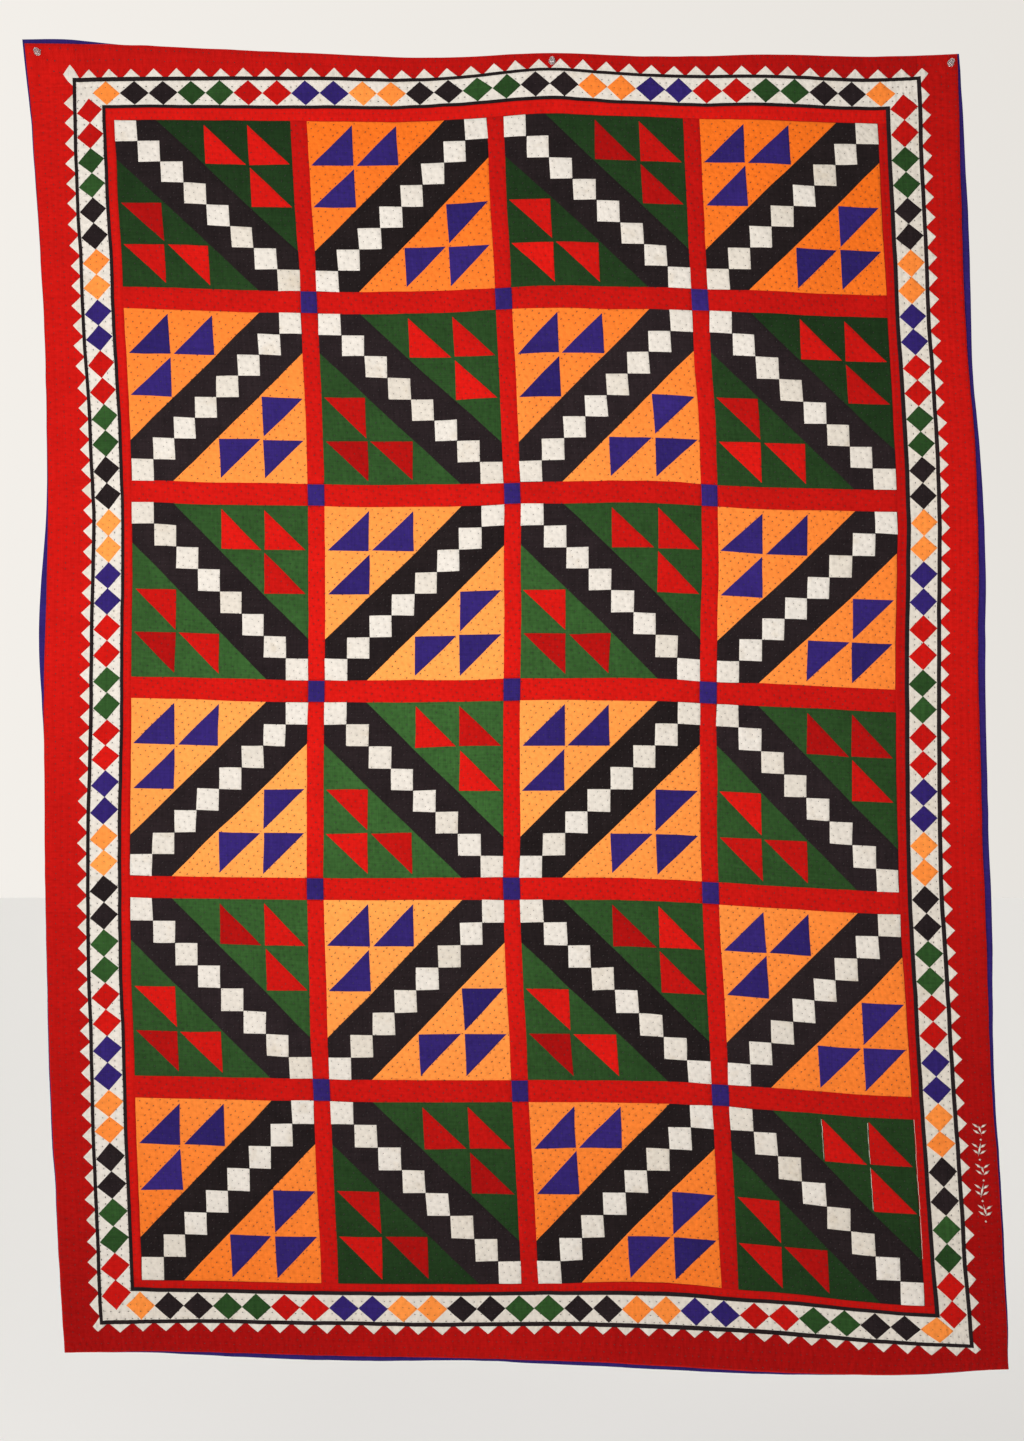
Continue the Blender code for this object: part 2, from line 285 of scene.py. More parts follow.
class RalliSizes(bpy.types.PropertyGroup):
    """Sizes of the cloths and stitches, in millimetres."""

    ply: size_mm("Ply", "How far each laid patch stands proud", 0.48, 0.1, 1.5)
    body: size_mm("Body", "Thickness of the quilted top", 3.5, 1.0, 10.0)
    backing: size_mm("Backing", "Thickness of the backing cloth", 1.0, 0.5, 3.0)
    sash_upright: size_mm("Upright sash", "Width of the sashes between columns", 24.0, 5.0, 60.0)
    sash_level: size_mm("Level sash", "Width of the sashes between rows", 32.0, 5.0, 60.0)
    row: size_mm("Stitch rows", "Distance between rows of quilting", 9.5, 3.0, 40.0)
    stitch: size_mm("Stitch", "Length of a stitch on top", 2.7, 1.0, 10.0)
    stitch_step: size_mm("Stitch step", "From one stitch to the next", 10.5, 3.0, 40.0)
    thread: size_mm("Thread", "Thickness of the quilting thread", 1.2, 0.2, 3.0)


# ---- small tools -----------------------------------------------------------
def ease(t):
    """Smooth step from 0 to 1."""
    t = np.clip(t, 0.0, 1.0)
    return t * t * (3.0 - 2.0 * t)


def curve(keys, values, at):
    """Smooth curve through keyed values, read at many places."""
    order = np.argsort(keys)
    keys = np.asarray(keys, float)[order]
    values = np.asarray(values, float)[order]
    slopes = np.gradient(values, keys)
    low = np.clip(np.searchsorted(keys, at) - 1, 0, len(keys) - 2)
    step = keys[low + 1] - keys[low]
    t = (at - keys[low]) / step
    inside = np.clip(t, 0.0, 1.0)
    up = inside * inside * (3.0 - 2.0 * inside)
    bend = slopes[low] * step * inside * (1.0 - inside) ** 2
    bend -= slopes[low + 1] * step * inside**2 * (1.0 - inside)
    beyond = np.where(t < 0.0, slopes[low], slopes[low + 1]) * step * (t - inside)
    return values[low] * (1.0 - up) + values[low + 1] * up + bend + beyond


def wander(x, y, size, seed):
    """Smooth noise from -1 to 1 with lumps of the given size."""
    table = np.random.default_rng(seed).uniform(-1.0, 1.0, (128, 128))
    x = np.asarray(x, float) / size + 64.0
    y = np.asarray(y, float) / size + 64.0
    column = np.floor(x).astype(int)
    row = np.floor(y).astype(int)
    u = ease(x - column)
    v = ease(y - row)

    def corner(i, j):
        return table[(column + i) % 128, (row + j) % 128]

    low = corner(0, 0) * (1.0 - u) + corner(1, 0) * u
    high = corner(0, 1) * (1.0 - u) + corner(1, 1) * u
    return low * (1.0 - v) + high * v


# ---- the hung surface ------------------------------------------------------
class HungCloth:
    """Takes flat cloth millimetres to the place where the cloth hangs."""

    RASTER = 16.0
    HEIGHT_STEP = 4.0

    def __init__(self):
        low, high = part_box("quilt_top")
        self.low_x = low.x / MM - 30.0
        self.low_z = low.z / MM - 30.0
        columns = int((high.x - low.x) / MM + 60.0) // int(self.RASTER) + 2
        rows = int((high.z - low.z) / MM + 60.0) // int(self.RASTER) + 2
        self.front = self.softened(self.cast("quilt_top", columns, rows))
        self.z_keys = np.arange(-1990.0, 90.0, self.HEIGHT_STEP)
        self.x_of = [curve(SEAM_HEIGHTS, row[2], self.z_keys) for row in UPRIGHT_SEAMS]
        self.x_of = np.array(self.x_of)
        self.x_keys = np.arange(-820.0, 740.0, self.HEIGHT_STEP)
        self.z_of = [curve(SEAM_PLACES, row[2], self.x_keys) for row in LEVEL_SEAMS]
        self.z_of = np.array(self.z_of)

    def cast(self, node, columns, rows):
        """Front of a CAD node on a raster, by rays from the front."""
        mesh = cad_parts[node].data
        tree = BVHTree.FromPolygons([v.co for v in mesh.vertices], [p.vertices for p in mesh.polygons])
        found = np.full((columns, rows), np.nan)
        for i in range(columns):
            for j in range(rows):
                x = (self.low_x + i * self.RASTER) * MM
                z = (self.low_z + j * self.RASTER) * MM
                hit = tree.ray_cast(Vector((x, -1.0, z)), Vector((0.0, 1.0, 0.0)))
                if hit[0] is not None:
                    found[i, j] = hit[0].y / MM
        return found

    def softened(self, found):
        """Fill past the edges from the nearest cloth, then round the facets."""
        while np.isnan(found).any():
            wide = np.pad(found, 1, constant_values=np.nan)
            ways = [(i, j) for i in (-1, 0, 1) for j in (-1, 0, 1)]
            stack = np.array([np.roll(wide, way, (0, 1))[1:-1, 1:-1] for way in ways])
            known = ~np.isnan(stack)
            total = np.where(known, stack, 0.0).sum(axis=0)
            count = known.sum(axis=0)
            filled = np.where(count > 0, total / np.maximum(count, 1), np.nan)
            found = np.where(np.isnan(found), filled, found)
        for _ in range(3):
            for axis in (0, 1):
                wide = np.pad(found, 1, mode="edge")
                before = np.roll(wide, 1, axis)[1:-1, 1:-1]
                after = np.roll(wide, -1, axis)[1:-1, 1:-1]
                found = 0.25 * before + 0.5 * found + 0.25 * after
        return found

    def depth(self, x, z):
        """y of the cloth's front, on smooth patches through the raster."""
        u = (x - self.low_x) / self.RASTER
        v = (z - self.low_z) / self.RASTER
        column = np.clip(np.floor(u).astype(int), 1, self.front.shape[0] - 3)
        row = np.clip(np.floor(v).astype(int), 1, self.front.shape[1] - 3)
        total = np.zeros_like(x)
        for i, share_i in enumerate(self.cubic(u - column)):
            for j, share_j in enumerate(self.cubic(v - row)):
                total += share_i * share_j * self.front[column + i - 1, row + j - 1]
        return total

    @staticmethod
    def cubic(t):
        """Shares of four neighbours on a cubic through the middle two."""
        t = np.clip(t, -0.5, 1.5)
        return (
            0.5 * (-t + 2.0 * t**2 - t**3),
            0.5 * (2.0 - 5.0 * t**2 + 3.0 * t**3),
            0.5 * (t + 4.0 * t**2 - 3.0 * t**3),
            0.5 * (-(t**2) + t**3),
        )

    @staticmethod
    def between(lines, keys, table, flat, at):
        """Read a table of lines at flat places, straight between the lines."""
        low = np.clip(np.searchsorted(lines, flat) - 1, 0, len(lines) - 2)
        lines = np.asarray(lines)
        share = (flat - lines[low]) / (lines[low + 1] - lines[low])
        place = (at - keys[0]) / (keys[1] - keys[0])
        cell = np.clip(np.floor(place).astype(int), 0, len(keys) - 2)
        part = place - cell
        first = table[low, cell] * (1.0 - part) + table[low, cell + 1] * part
        second = table[low + 1, cell] * (1.0 - part) + table[low + 1, cell + 1] * part
        return first * (1.0 - share) + second * share

    def wall_place(self, s, t):
        """x and z of flat places."""
        z = -t
        for _ in range(4):
            x = self.between(S_LINES, self.z_keys, self.x_of, s, z)
            z = self.between(T_LINES, self.x_keys, self.z_of, t, x)
        return x, z

    def freedom(self, x, z):
        """0 under the pins' flanges, where nothing may stand proud."""
        free = np.ones_like(x)
        for label in ("left", "middle", "right"):
            low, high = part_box(f"pin_{label}_head")
            middle = (low + high) / (2.0 * MM)
            away = np.hypot(x - middle.x, z - middle.z)
            free *= ease((away - 7.0) / 16.0)
        return free

    def pucker(self, s, t, fine):
        """Ripples and soft unevenness that the quilting gives the cloth.

        The ripples are only a few millimetres wide, so sheets with wide cells
        leave them out (fine is False) and keep the softer unevenness.
        """
        drawn = drawn_in(s, t)
        inward_s = np.minimum(s, WIDTH - s)
        inward_t = np.minimum(t, LENGTH - t)
        inward = np.minimum(inward_s, inward_t)
        along = np.maximum(inward_s, inward_t)
        border = 1.0 - ease((inward - 45.0) / 45.0)
        phase = along + 0.25 * inward + 6.0 * wander(s, t, 55.0, 5)
        ripple = (0.55 + np.sin(2.0 * math.pi * phase / 11.5)) * (0.6 + 0.4 * wander(s, t, 38.0, 6))
        height = 0.95 * wander(s, t, 95.0, 7) + 0.55 * wander(s, t, 42.0, 8)
        if fine:
            height += ripple * border * (0.16 + 0.85 * drawn)
        slant = (s + t) * SQRT_HALF
        height += 0.20 * (1.0 - border) * np.sin(2.0 * math.pi * slant / 28.5 + 2.0 * wander(s, t, 80.0, 9))
        return height

    def lay(self, flat, rise, fine=True):
        """Points in metres for flat places and heights above the cloth.

        fine lays them on the border's ripples as well.
        """
        s, t = flat[:, 0], flat[:, 1]
        x, z = self.wall_place(s, t)
        x = x + 0.9 * wander(s, t, 75.0, 11) + 0.35 * wander(s, t, 24.0, 12)
        z = z + 0.9 * wander(s, t, 75.0, 13) + 0.35 * wander(s, t, 24.0, 14)
        free = self.freedom(x, z)
        y = self.depth(x, z) - free * self.pucker(s, t, fine) - rise
        return np.stack((x, y, z), axis=1) * MM


HUNG = HungCloth()


def drawn_in(s, t):
    """How strongly the quilting puckers the cloth, 0 to about 1."""
    drawn = np.zeros_like(s)
    for middle_s, middle_t, reach_s, reach_t, strength in PUCKERED_SPOTS:
        away = ((s - middle_s) / reach_s) ** 2 + ((t - middle_t) / reach_t) ** 2
        drawn += strength * np.exp(-away)
    return drawn


def painted_falloff_tone(flat, share=1.0, lot=0.0):
    """Tone of a cloth: painted shade, least in a pool of light left of the middle and growing away from it,
    plus the dye lot.
    """
    away = ((flat[:, 0] - 450.0) / 700.0) ** 2 + ((flat[:, 1] - 1000.0) / 620.0) ** 2
    return share * (1.0 - np.exp(-away)) + lot


def in_border(s, t):
    """True where the rows run round the quilt instead of slanting."""
    return (s < FIELD_S[0]) | (s > FIELD_S[1]) | (t < FIELD_T[0]) | (t > FIELD_T[1])


def quilting(s, t, framed=True):
    """Stitch-row coordinates: across the rows, along them, and the pucker."""
    inward_s = np.minimum(s, WIDTH - s)
    inward_t = np.minimum(t, LENGTH - t)
    border = in_border(s, t) & framed
    across = np.where(border, np.minimum(inward_s, inward_t) - FIRST_ROW, (s + t) * SQRT_HALF)
    along = np.where(border, np.maximum(inward_s, inward_t), (s - t) * SQRT_HALF)
    return np.stack((across, along, drawn_in(s, t)), axis=1)


# ---- meshes ----------------------------------------------------------------
class Cutting:
    """Gathers like patches, cut in flat millimetres, into one piece."""

    def __init__(self):
        self.flat = []
        self.rise = []
        self.tone = []
        self.faces = []
        self.count = 0

    def take(self, flat, rise, faces, tone):
        """Add one patch's points and faces."""
        flat = np.asarray(flat, float)
        self.flat.append(flat)
        self.rise.append(np.asarray(rise, float))
        self.tone.append(np.full(len(flat), tone, float))
        self.faces += [tuple(index + self.count for index in face) for face in faces]
        self.count += len(flat)

    def piece(self, name, material, fine=True, framed=True):
        """Lay the patches on the hung quilt and link them as one object.

        fine follows the border's ripples.  framed turns the stitch rows to run
        round the quilt in the border; without it they slant everywhere.
        """
        flat = np.concatenate(self.flat)
        rise = np.concatenate(self.rise)
        tone = np.concatenate(self.tone)
        mesh = bpy.data.meshes.new(name)
        mesh.from_pydata(HUNG.lay(flat, rise, fine).tolist(), [], self.faces)
        write_vectors(mesh, "flat", np.stack((flat[:, 0], flat[:, 1], tone), axis=1))
        write_vectors(mesh, "rows", quilting(flat[:, 0], flat[:, 1], framed))
        mesh.polygons.foreach_set("use_smooth", [True] * len(mesh.polygons))
        mesh.materials.append(material)
        mesh.update()
        thing = bpy.data.objects.new(name, mesh)
        bpy.context.scene.collection.objects.link(thing)
        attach(thing, "root")
        return thing


def write_vectors(mesh, name, values):
    """Store a vector for each point."""
    layer = mesh.attributes.new(name, "FLOAT_VECTOR", "POINT")
    layer.data.foreach_set("vector", values.astype(np.float32).ravel())


def walk(path, shares):
    """Points at shares of a path's length."""
    path = np.asarray(path, float)
    steps = np.hypot(*np.diff(path, axis=0).T)
    gone = np.concatenate(([0.0], np.cumsum(steps)))
    if gone[-1] == 0.0:
        return np.repeat(path[:1], len(shares), axis=0)
    at = np.asarray(shares) * gone[-1]
    return np.stack((np.interp(at, gone, path[:, 0]), np.interp(at, gone, path[:, 1])), axis=1)


def path_length(path):
    """Length of a path."""
    return float(np.hypot(*np.diff(np.asarray(path, float), axis=0).T).sum())


def corner_shares(path):
    """Shares of a path's length at its inner corners."""
    steps = np.hypot(*np.diff(np.asarray(path, float), axis=0).T)
    return list(np.cumsum(steps)[:-1] / steps.sum()) if len(steps) > 1 else []


def stations(length, cell, turn, keep=()):
    """Shares along a side, with a close one inside each end for the turned edge."""
    length = max(length, 2.5 * turn)
    count = max(1, int(round((length - 2.0 * turn) / cell)))
    inner = np.linspace(turn / length, 1.0 - turn / length, count + 1)
    inner = [x for x in inner if all(abs(x - k) * length > 0.3 * cell for k in keep)]
    return np.array(sorted({0.0, 1.0, *inner, *keep}))


def add_patch(cutting, one, other, rise, tone, cell=6.0, turn=0.6, tuck=0.6):
    """Cloth patch between two facing paths, with its edges turned under."""
    longest = max(path_length(one), path_length(other))
    middles = np.linspace(0.0, 1.0, 9)
    reach = np.hypot(*(walk(other, middles) - walk(one, middles)).T).max()
    keep = [k for k in corner_shares(one) + corner_shares(other) if 0.001 < k < 0.999]
    a = stations(longest, cell, turn, tuple(keep))
    b = stations(reach, cell, turn)
    first = walk(one, a)[:, None, :]
    second = walk(other, a)[:, None, :]
    grid = first * (1.0 - b)[None, :, None] + second * b[None, :, None]
    flat = grid.reshape(-1, 2)
    rises = np.full((len(a), len(b)), rise)
    rises[[0, -1], :] -= tuck
    rises[1:-1, [0, -1]] -= tuck
    number = np.arange(len(flat)).reshape(len(a), len(b))
    for end in (0, -1):
        if np.hypot(*(grid[end, 0] - grid[end, -1])) < 0.01:
            number[end, :] = number[end, 0]
    quads = np.stack((number[:-1, :-1], number[1:, :-1], number[1:, 1:], number[:-1, 1:]), axis=-1)
    quads = quads.reshape(-1, 4)
    used, renumbered = np.unique(quads, return_inverse=True)
    quads = renumbered.reshape(-1, 4)
    flat = flat[used]
    rises = rises.ravel()[used]
    p, q, r = flat[quads[0][0]], flat[quads[0][1]], flat[quads[0][2]]
    turned = np.cross(q - p, r - p) if len(set(quads[0])) > 2 else 0.0
    if abs(turned) < 1e-9:
        p, q, r = (flat[i] for i in quads[len(quads) // 2][:3])
        turned = np.cross(q - p, r - p)
    faces = []
    for quad in quads.tolist():
        face = [v for k, v in enumerate(quad) if v != quad[k - 1]]
        if len(face) > 2:
            faces.append(tuple(face) if turned < 0.0 else tuple(reversed(face)))
    cutting.take(flat, rises, faces, tone(flat) if callable(tone) else tone)


def ribbon(cutting, start, end, width, rise, tone, cell=6.0, turn=0.5, tuck=0.6):
    """Straight strip of cloth of the given width, centred on a line."""
    start, end = np.asarray(start, float), np.asarray(end, float)
    way = (end - start) / np.hypot(*(end - start))
    side = np.array((-way[1], way[0])) * width * 0.5
    add_patch(cutting, (start - side, end - side), (start + side, end + side), rise, tone, cell, turn, tuck)


def slab(name, material, edges, cell, front, back, turn):
    """Closed sheet with rolled edges; edges gives the reach past each side."""

    def shares(length):
        count = int(round(length / cell))
        inner = np.linspace(RIM, length - RIM, count + 1)
        return np.concatenate(([0.0, turn], inner, [length - turn, length]))

    s = shares(WIDTH)
    t = shares(LENGTH)
    grid_s, grid_t = np.meshgrid(s, t, indexing="ij")
    depth_in = np.minimum(np.minimum(grid_s, WIDTH - grid_s), np.minimum(grid_t, LENGTH - grid_t))
    if edges is not None:
        grid_s, grid_t = edges(grid_s, grid_t)
    middle = 0.5 * (front + back)
    part = np.where(depth_in < 0.01, 0.0, np.where(depth_in < turn + 0.01, 0.75, 1.0))
    flat = np.stack((grid_s.ravel(), grid_t.ravel()), axis=1)
    face_side = (middle + (front - middle) * part).ravel()
    wall_side = (middle + (back - middle) * part).ravel()
    number = np.arange(len(flat)).reshape(grid_s.shape)
    behind = number + len(flat)
    rim = depth_in < 0.01
    behind[rim] = number[rim]
    front_quads = np.stack((number[:-1, :-1], number[:-1, 1:], number[1:, 1:], number[1:, :-1]), axis=-1)
    back_quads = np.stack((behind[:-1, :-1], behind[1:, :-1], behind[1:, 1:], behind[:-1, 1:]), axis=-1)
    quads = np.concatenate((front_quads.reshape(-1, 4), back_quads.reshape(-1, 4)))
    used, renumbered = np.unique(quads, return_inverse=True)
    faces = [tuple(quad) for quad in renumbered.reshape(-1, 4).tolist()]
    sheet = Cutting()
    both = np.concatenate((flat, flat))[used]
    sheet.take(both, np.concatenate((face_side, wall_side))[used], faces, 0.5)
    return sheet.piece(name, material, fine=False, framed=False)


# ---- materials -------------------------------------------------------------
def add_node(tree, kind, inputs=None, **settings):
    """Add a shader node with its settings, input values and links."""
    made = tree.nodes.new(kind)
    for name, value in settings.items():
        setattr(made, name, value)
    for key, value in (inputs or {}).items():
        if isinstance(value, bpy.types.NodeSocket):
            tree.links.new(value, made.inputs[key])
        else:
            made.inputs[key].default_value = value
    return made


def start_material(name):
    """Empty node material and its shader."""
    material = bpy.data.materials.new(name)
    material.use_nodes = True
    tree = material.node_tree
    tree.nodes.clear()
    shader = add_node(tree, "ShaderNodeBsdfPrincipled")
    add_node(tree, "ShaderNodeOutputMaterial", {"Surface": shader.outputs["BSDF"]})
    return material, tree, shader


def vary_colour(tree, shader, noise, low, high):
    """Base colour that wanders between two colours with a noise's values."""
    factor = add_node(tree, "ShaderNodeTexNoise", noise).outputs["Fac"]
    colours = {0: factor, 6: (*low, 1.0), 7: (*high, 1.0)}
    mix = add_node(tree, "ShaderNodeMix", colours, data_type="RGBA")
    tree.links.new(mix.outputs[2], shader.inputs["Base Color"])


# Sizes of the cotton's patterns, in millimetres.  The real threads are about
# 0.5 mm apart, too fine to show, so the weave is drawn 3 times coarser.
WEAVE_MM = 1.5
SLUB_WIDE_MM = 1.7
SLUB_LONG_MM = 42.0
MOTTLE_MM = 38.0
STAIN_MM = 32.0
LINT_MM = 8.0
RIPPLE_MM = 15.0


def cotton(name, colour, other, stain=None, slub=0.1, mottle=0.08, stained=0.0, sheen=0.03):
    """Hand-dyed plain-weave cotton poplin: matt, streaked by uneven threads.

    The dye sits unevenly, each patch comes from its own dye lot, every stitch
    draws a dimple darkened with painted shade, and worn fibres lift a faint sheen at glancing light.
    """
    material, tree, shader = start_material(name)
    flat = add_node(tree, "ShaderNodeAttribute", attribute_name="flat").outputs["Vector"]
    rows = add_node(tree, "ShaderNodeAttribute", attribute_name="rows").outputs["Vector"]
    parts = add_node(tree, "ShaderNodeSeparateXYZ", {"Vector": flat})
    tone = parts.outputs["Z"]

    def math_of(operation, one, two=0.0):
        """One step of arithmetic."""
        return add_node(tree, "ShaderNodeMath", {0: one, 1: two}, operation=operation).outputs[0]

    lifted = math_of("MULTIPLY", tone, 700.0)
    places = {"X": parts.outputs["X"], "Y": parts.outputs["Y"], "Z": lifted}
    spread = add_node(tree, "ShaderNodeCombineXYZ", places).outputs[0]

    def noise(scale, detail=3.0, rough=0.55, vector=spread):
        """Noise with lumps of the given sizes in millimetres."""
        shares = tuple(1.0 / size for size in scale)
        placed = add_node(tree, "ShaderNodeVectorMath", {0: vector, 1: shares}, operation="MULTIPLY")
        inputs = {"Vector": placed.outputs[0], "Scale": 1.0, "Detail": detail, "Roughness": rough}
        return add_node(tree, "ShaderNodeTexNoise", inputs).outputs["Fac"]

    def range_of(value, low, high, to_low, to_high):
        """Value taken from one range to another."""
        inputs = {"Value": value, "From Min": low, "From Max": high, "To Min": to_low, "To Max": to_high}
        return add_node(tree, "ShaderNodeMapRange", inputs).outputs["Result"]

    def mixed(factor, one, two):
        """Two colours mixed."""
        return add_node(tree, "ShaderNodeMix", {0: factor, 6: one, 7: two}, data_type="RGBA").outputs[2]

    warp = noise((SLUB_WIDE_MM, SLUB_LONG_MM, 40.0), 2.0)
    weft = noise((SLUB_LONG_MM, SLUB_WIDE_MM, 40.0), 2.0)
    clouds = noise((MOTTLE_MM, MOTTLE_MM, 60.0), 4.0, 0.6)
    lint = noise((LINT_MM, LINT_MM, 40.0), 3.0, 0.7)

    # Dimples where the stitches draw the layers together, in a brick pattern.
    settings = bpy.context.scene.ralli_sizes
    split = add_node(tree, "ShaderNodeSeparateXYZ", {"Vector": rows})
    sway = math_of("MULTIPLY", math_of("SUBTRACT", noise((24.0, 24.0, 40.0), 2.0), 0.5), 4.0)
    across = math_of("MULTIPLY", split.outputs["X"], math.pi / settings.row)
    along = math_of("MULTIPLY", split.outputs["Y"], 2.0 * math.pi / settings.stitch_step)
    dimple = math_of("COSINE", math_of("ADD", across, math_of("MULTIPLY", sway, 0.4)))
    dimple = math_of("MULTIPLY", dimple, math_of("COSINE", math_of("ADD", along, sway)))

    # Mix by tone: another dye lot, and where the tone is the painted falloff or the border's shade tones,
    # painted shade.
    lot = mixed(tone, (*colour, 1.0), (*other, 1.0))
    streaks = math_of("ADD", warp, weft)
    streaked = range_of(streaks, 0.72, 1.28, 1.0 - slub, 1.0 + slub)
    cloudy = range_of(clouds, 0.3, 0.7, 1.0 - mottle, 1.0 + mottle)
    linty = range_of(lint, 0.3, 0.7, 0.95, 1.05)
    # Painted shade: the base colour is darkened in each stitch dimple.
    drawn = range_of(dimple, 0.0, 1.0, 1.01, 0.92)
    shade = math_of("MULTIPLY", math_of("MULTIPLY", streaked, cloudy), math_of("MULTIPLY", linty, drawn))
    tinted = add_node(tree, "ShaderNodeVectorMath", {0: lot, 3: shade}, operation="SCALE").outputs[0]
    if stained > 0.0:
        blot = noise((STAIN_MM, STAIN_MM, 25.0), 5.0, 0.62)
        mark = range_of(blot, 0.56, 0.76, 0.0, stained)
        tinted = mixed(mark, tinted, (*stain, 1.0))
    tree.links.new(tinted, shader.inputs["Base Color"])

    # Relief in millimetres: weave and slubs, dimples, and ripples drawn
    # across the rows where the quilting puckers the cloth.
    weave_scale = 2.0 * math.pi / (20.0 * WEAVE_MM)
    inputs = {"Vector": flat, "Scale": weave_scale, "Distortion": 0.6}
    waves = [add_node(tree, "ShaderNodeTexWave", inputs, bands_direction=way) for way in "XY"]
    weave = math_of("MULTIPLY", *(wave.outputs["Fac"] for wave in waves))
    puffs = noise((22.0, 9.0, 30.0), 2.0, vector=rows)
    ripple = noise((40.0, RIPPLE_MM * 0.55, 900.0), 1.0, vector=rows)
    ripple = math_of("MULTIPLY", ripple, range_of(split.outputs["Z"], 0.0, 1.0, 0.5, 4.5))
    relief = math_of("ADD", math_of("MULTIPLY", weave, 0.08), math_of("MULTIPLY", streaks, 0.10))
    groove = math_of("COSINE", math_of("MULTIPLY", across, 2.0))
    relief = math_of("ADD", relief, math_of("MULTIPLY", dimple, -0.18))
    relief = math_of("ADD", relief, math_of("MULTIPLY", groove, -0.20))
    relief = math_of("ADD", relief, math_of("MULTIPLY", puffs, 1.5))
    relief = math_of("ADD", relief, ripple)
    bump = add_node(tree, "ShaderNodeBump", {"Height": relief, "Distance": MM, "Strength": 1.0})
    tree.links.new(bump.outputs["Normal"], shader.inputs["Normal"])
    tree.links.new(range_of(streaks, 0.7, 1.3, 0.98, 0.86), shader.inputs["Roughness"])
    shader.inputs["IOR"].default_value = 1.46
    shader.inputs["Specular IOR Level"].default_value = 0.12
    shader.inputs["Sheen Weight"].default_value = sheen
    shader.inputs["Sheen Roughness"].default_value = 0.5
    return material


def thread_material(name, colour, roughness, sheen):
    """Spun cotton thread: soft sheen along twisted strands."""
    material, tree, shader = start_material(name)
    flat = add_node(tree, "ShaderNodeAttribute", attribute_name="flat").outputs["Vector"]
    darker = [part * 0.72 for part in colour]
    lighter = [min(1.0, part * 1.3) for part in colour]
    vary_colour(tree, shader, {"Vector": flat, "Scale": 0.35, "Detail": 3.0}, darker, lighter)
    inputs = {"Vector": flat, "Scale": 0.45, "Distortion": 1.0}
    twist = add_node(tree, "ShaderNodeTexWave", inputs, bands_direction="DIAGONAL")
    inputs = {"Height": twist.outputs["Fac"], "Distance": 0.15 * MM, "Strength": 0.7}
    bump = add_node(tree, "ShaderNodeBump", inputs)
    tree.links.new(bump.outputs["Normal"], shader.inputs["Normal"])
    shader.inputs["Roughness"].default_value = roughness
    shader.inputs["Sheen Weight"].default_value = sheen
    return material


def cloth_material(name):
    """The cotton of one colour, made once."""
    found = bpy.data.materials.get(f"cotton_poplin_{name}")
    if found is not None:
        return found
    dyes = bpy.context.scene.ralli_colours
    colour = tuple(getattr(dyes, name))
    other = tuple(getattr(dyes, f"{name}_alt"))
    if name == "white":
        return cotton("cotton_poplin_white", colour, other, tuple(dyes.stain), 0.04, 0.03, 0.30)
    strength = {"red": 0.08, "green": 0.16, "orange": 0.05, "violet": 0.14, "black": 0.22}[name]
    return cotton(f"cotton_poplin_{name}", colour, other, None, strength, strength * 0.7)


# ---- placing helpers -------------------------------------------------------
def ply(count):
    """Height of so many plies, in millimetres."""
    return count * bpy.context.scene.ralli_sizes.ply


def block_frames():
    """Each block's corners in flat millimetres, with its row and column."""
    sizes = bpy.context.scene.ralli_sizes
    half_s = sizes.sash_upright * 0.5
    half_t = sizes.sash_level * 0.5
    lefts = [FIELD_S[0], *(s + half_s for s in SASH_S)]
    rights = [*(s - half_s for s in SASH_S), FIELD_S[1]]
    tops = [FIELD_T[0], *(t + half_t for t in SASH_T)]
    bottoms = [*(t - half_t for t in SASH_T), FIELD_T[1]]
    for row, (top, bottom) in enumerate(zip(tops, bottoms)):
        for column, (left, right) in enumerate(zip(lefts, rights)):
            yield row, column, (left, top), (right, bottom)


def block_point(low, high, mirrored):
    """Function from shares of a block to flat millimetres."""
    low, high = np.asarray(low), np.asarray(high)

    def point(u, v):
        if mirrored:
            u = 1.0 - u
        return low + (high - low) * np.array((u, v))

    return point


def side_place(side, along, out):
    """Flat place beside the outer line, the given hung distance out from it."""
    lines = {
        "top": ((along, OUTER_T[0]), (0.0, -1.0)),
        "bottom": ((along, OUTER_T[1]), (0.0, 1.0)),
        "left": ((OUTER_S[0], along), (-1.0, 0.0)),
        "right": ((OUTER_S[1], along), (1.0, 0.0)),
    }
    line, way = np.array(lines[side])
    s, t = np.stack((line, line + way * 8.0), axis=1)
    x, z = HUNG.wall_place(s, t)
    return line + way * out * 8.0 / math.hypot(x[1] - x[0], z[1] - z[0])


def seeded(name):
    """Random numbers that are the same each run."""
    return np.random.default_rng(sum(ord(letter) * (k + 1) for k, letter in enumerate(name)))


def keep_piece(thing):
    """Return a finished piece unchanged."""
    return thing


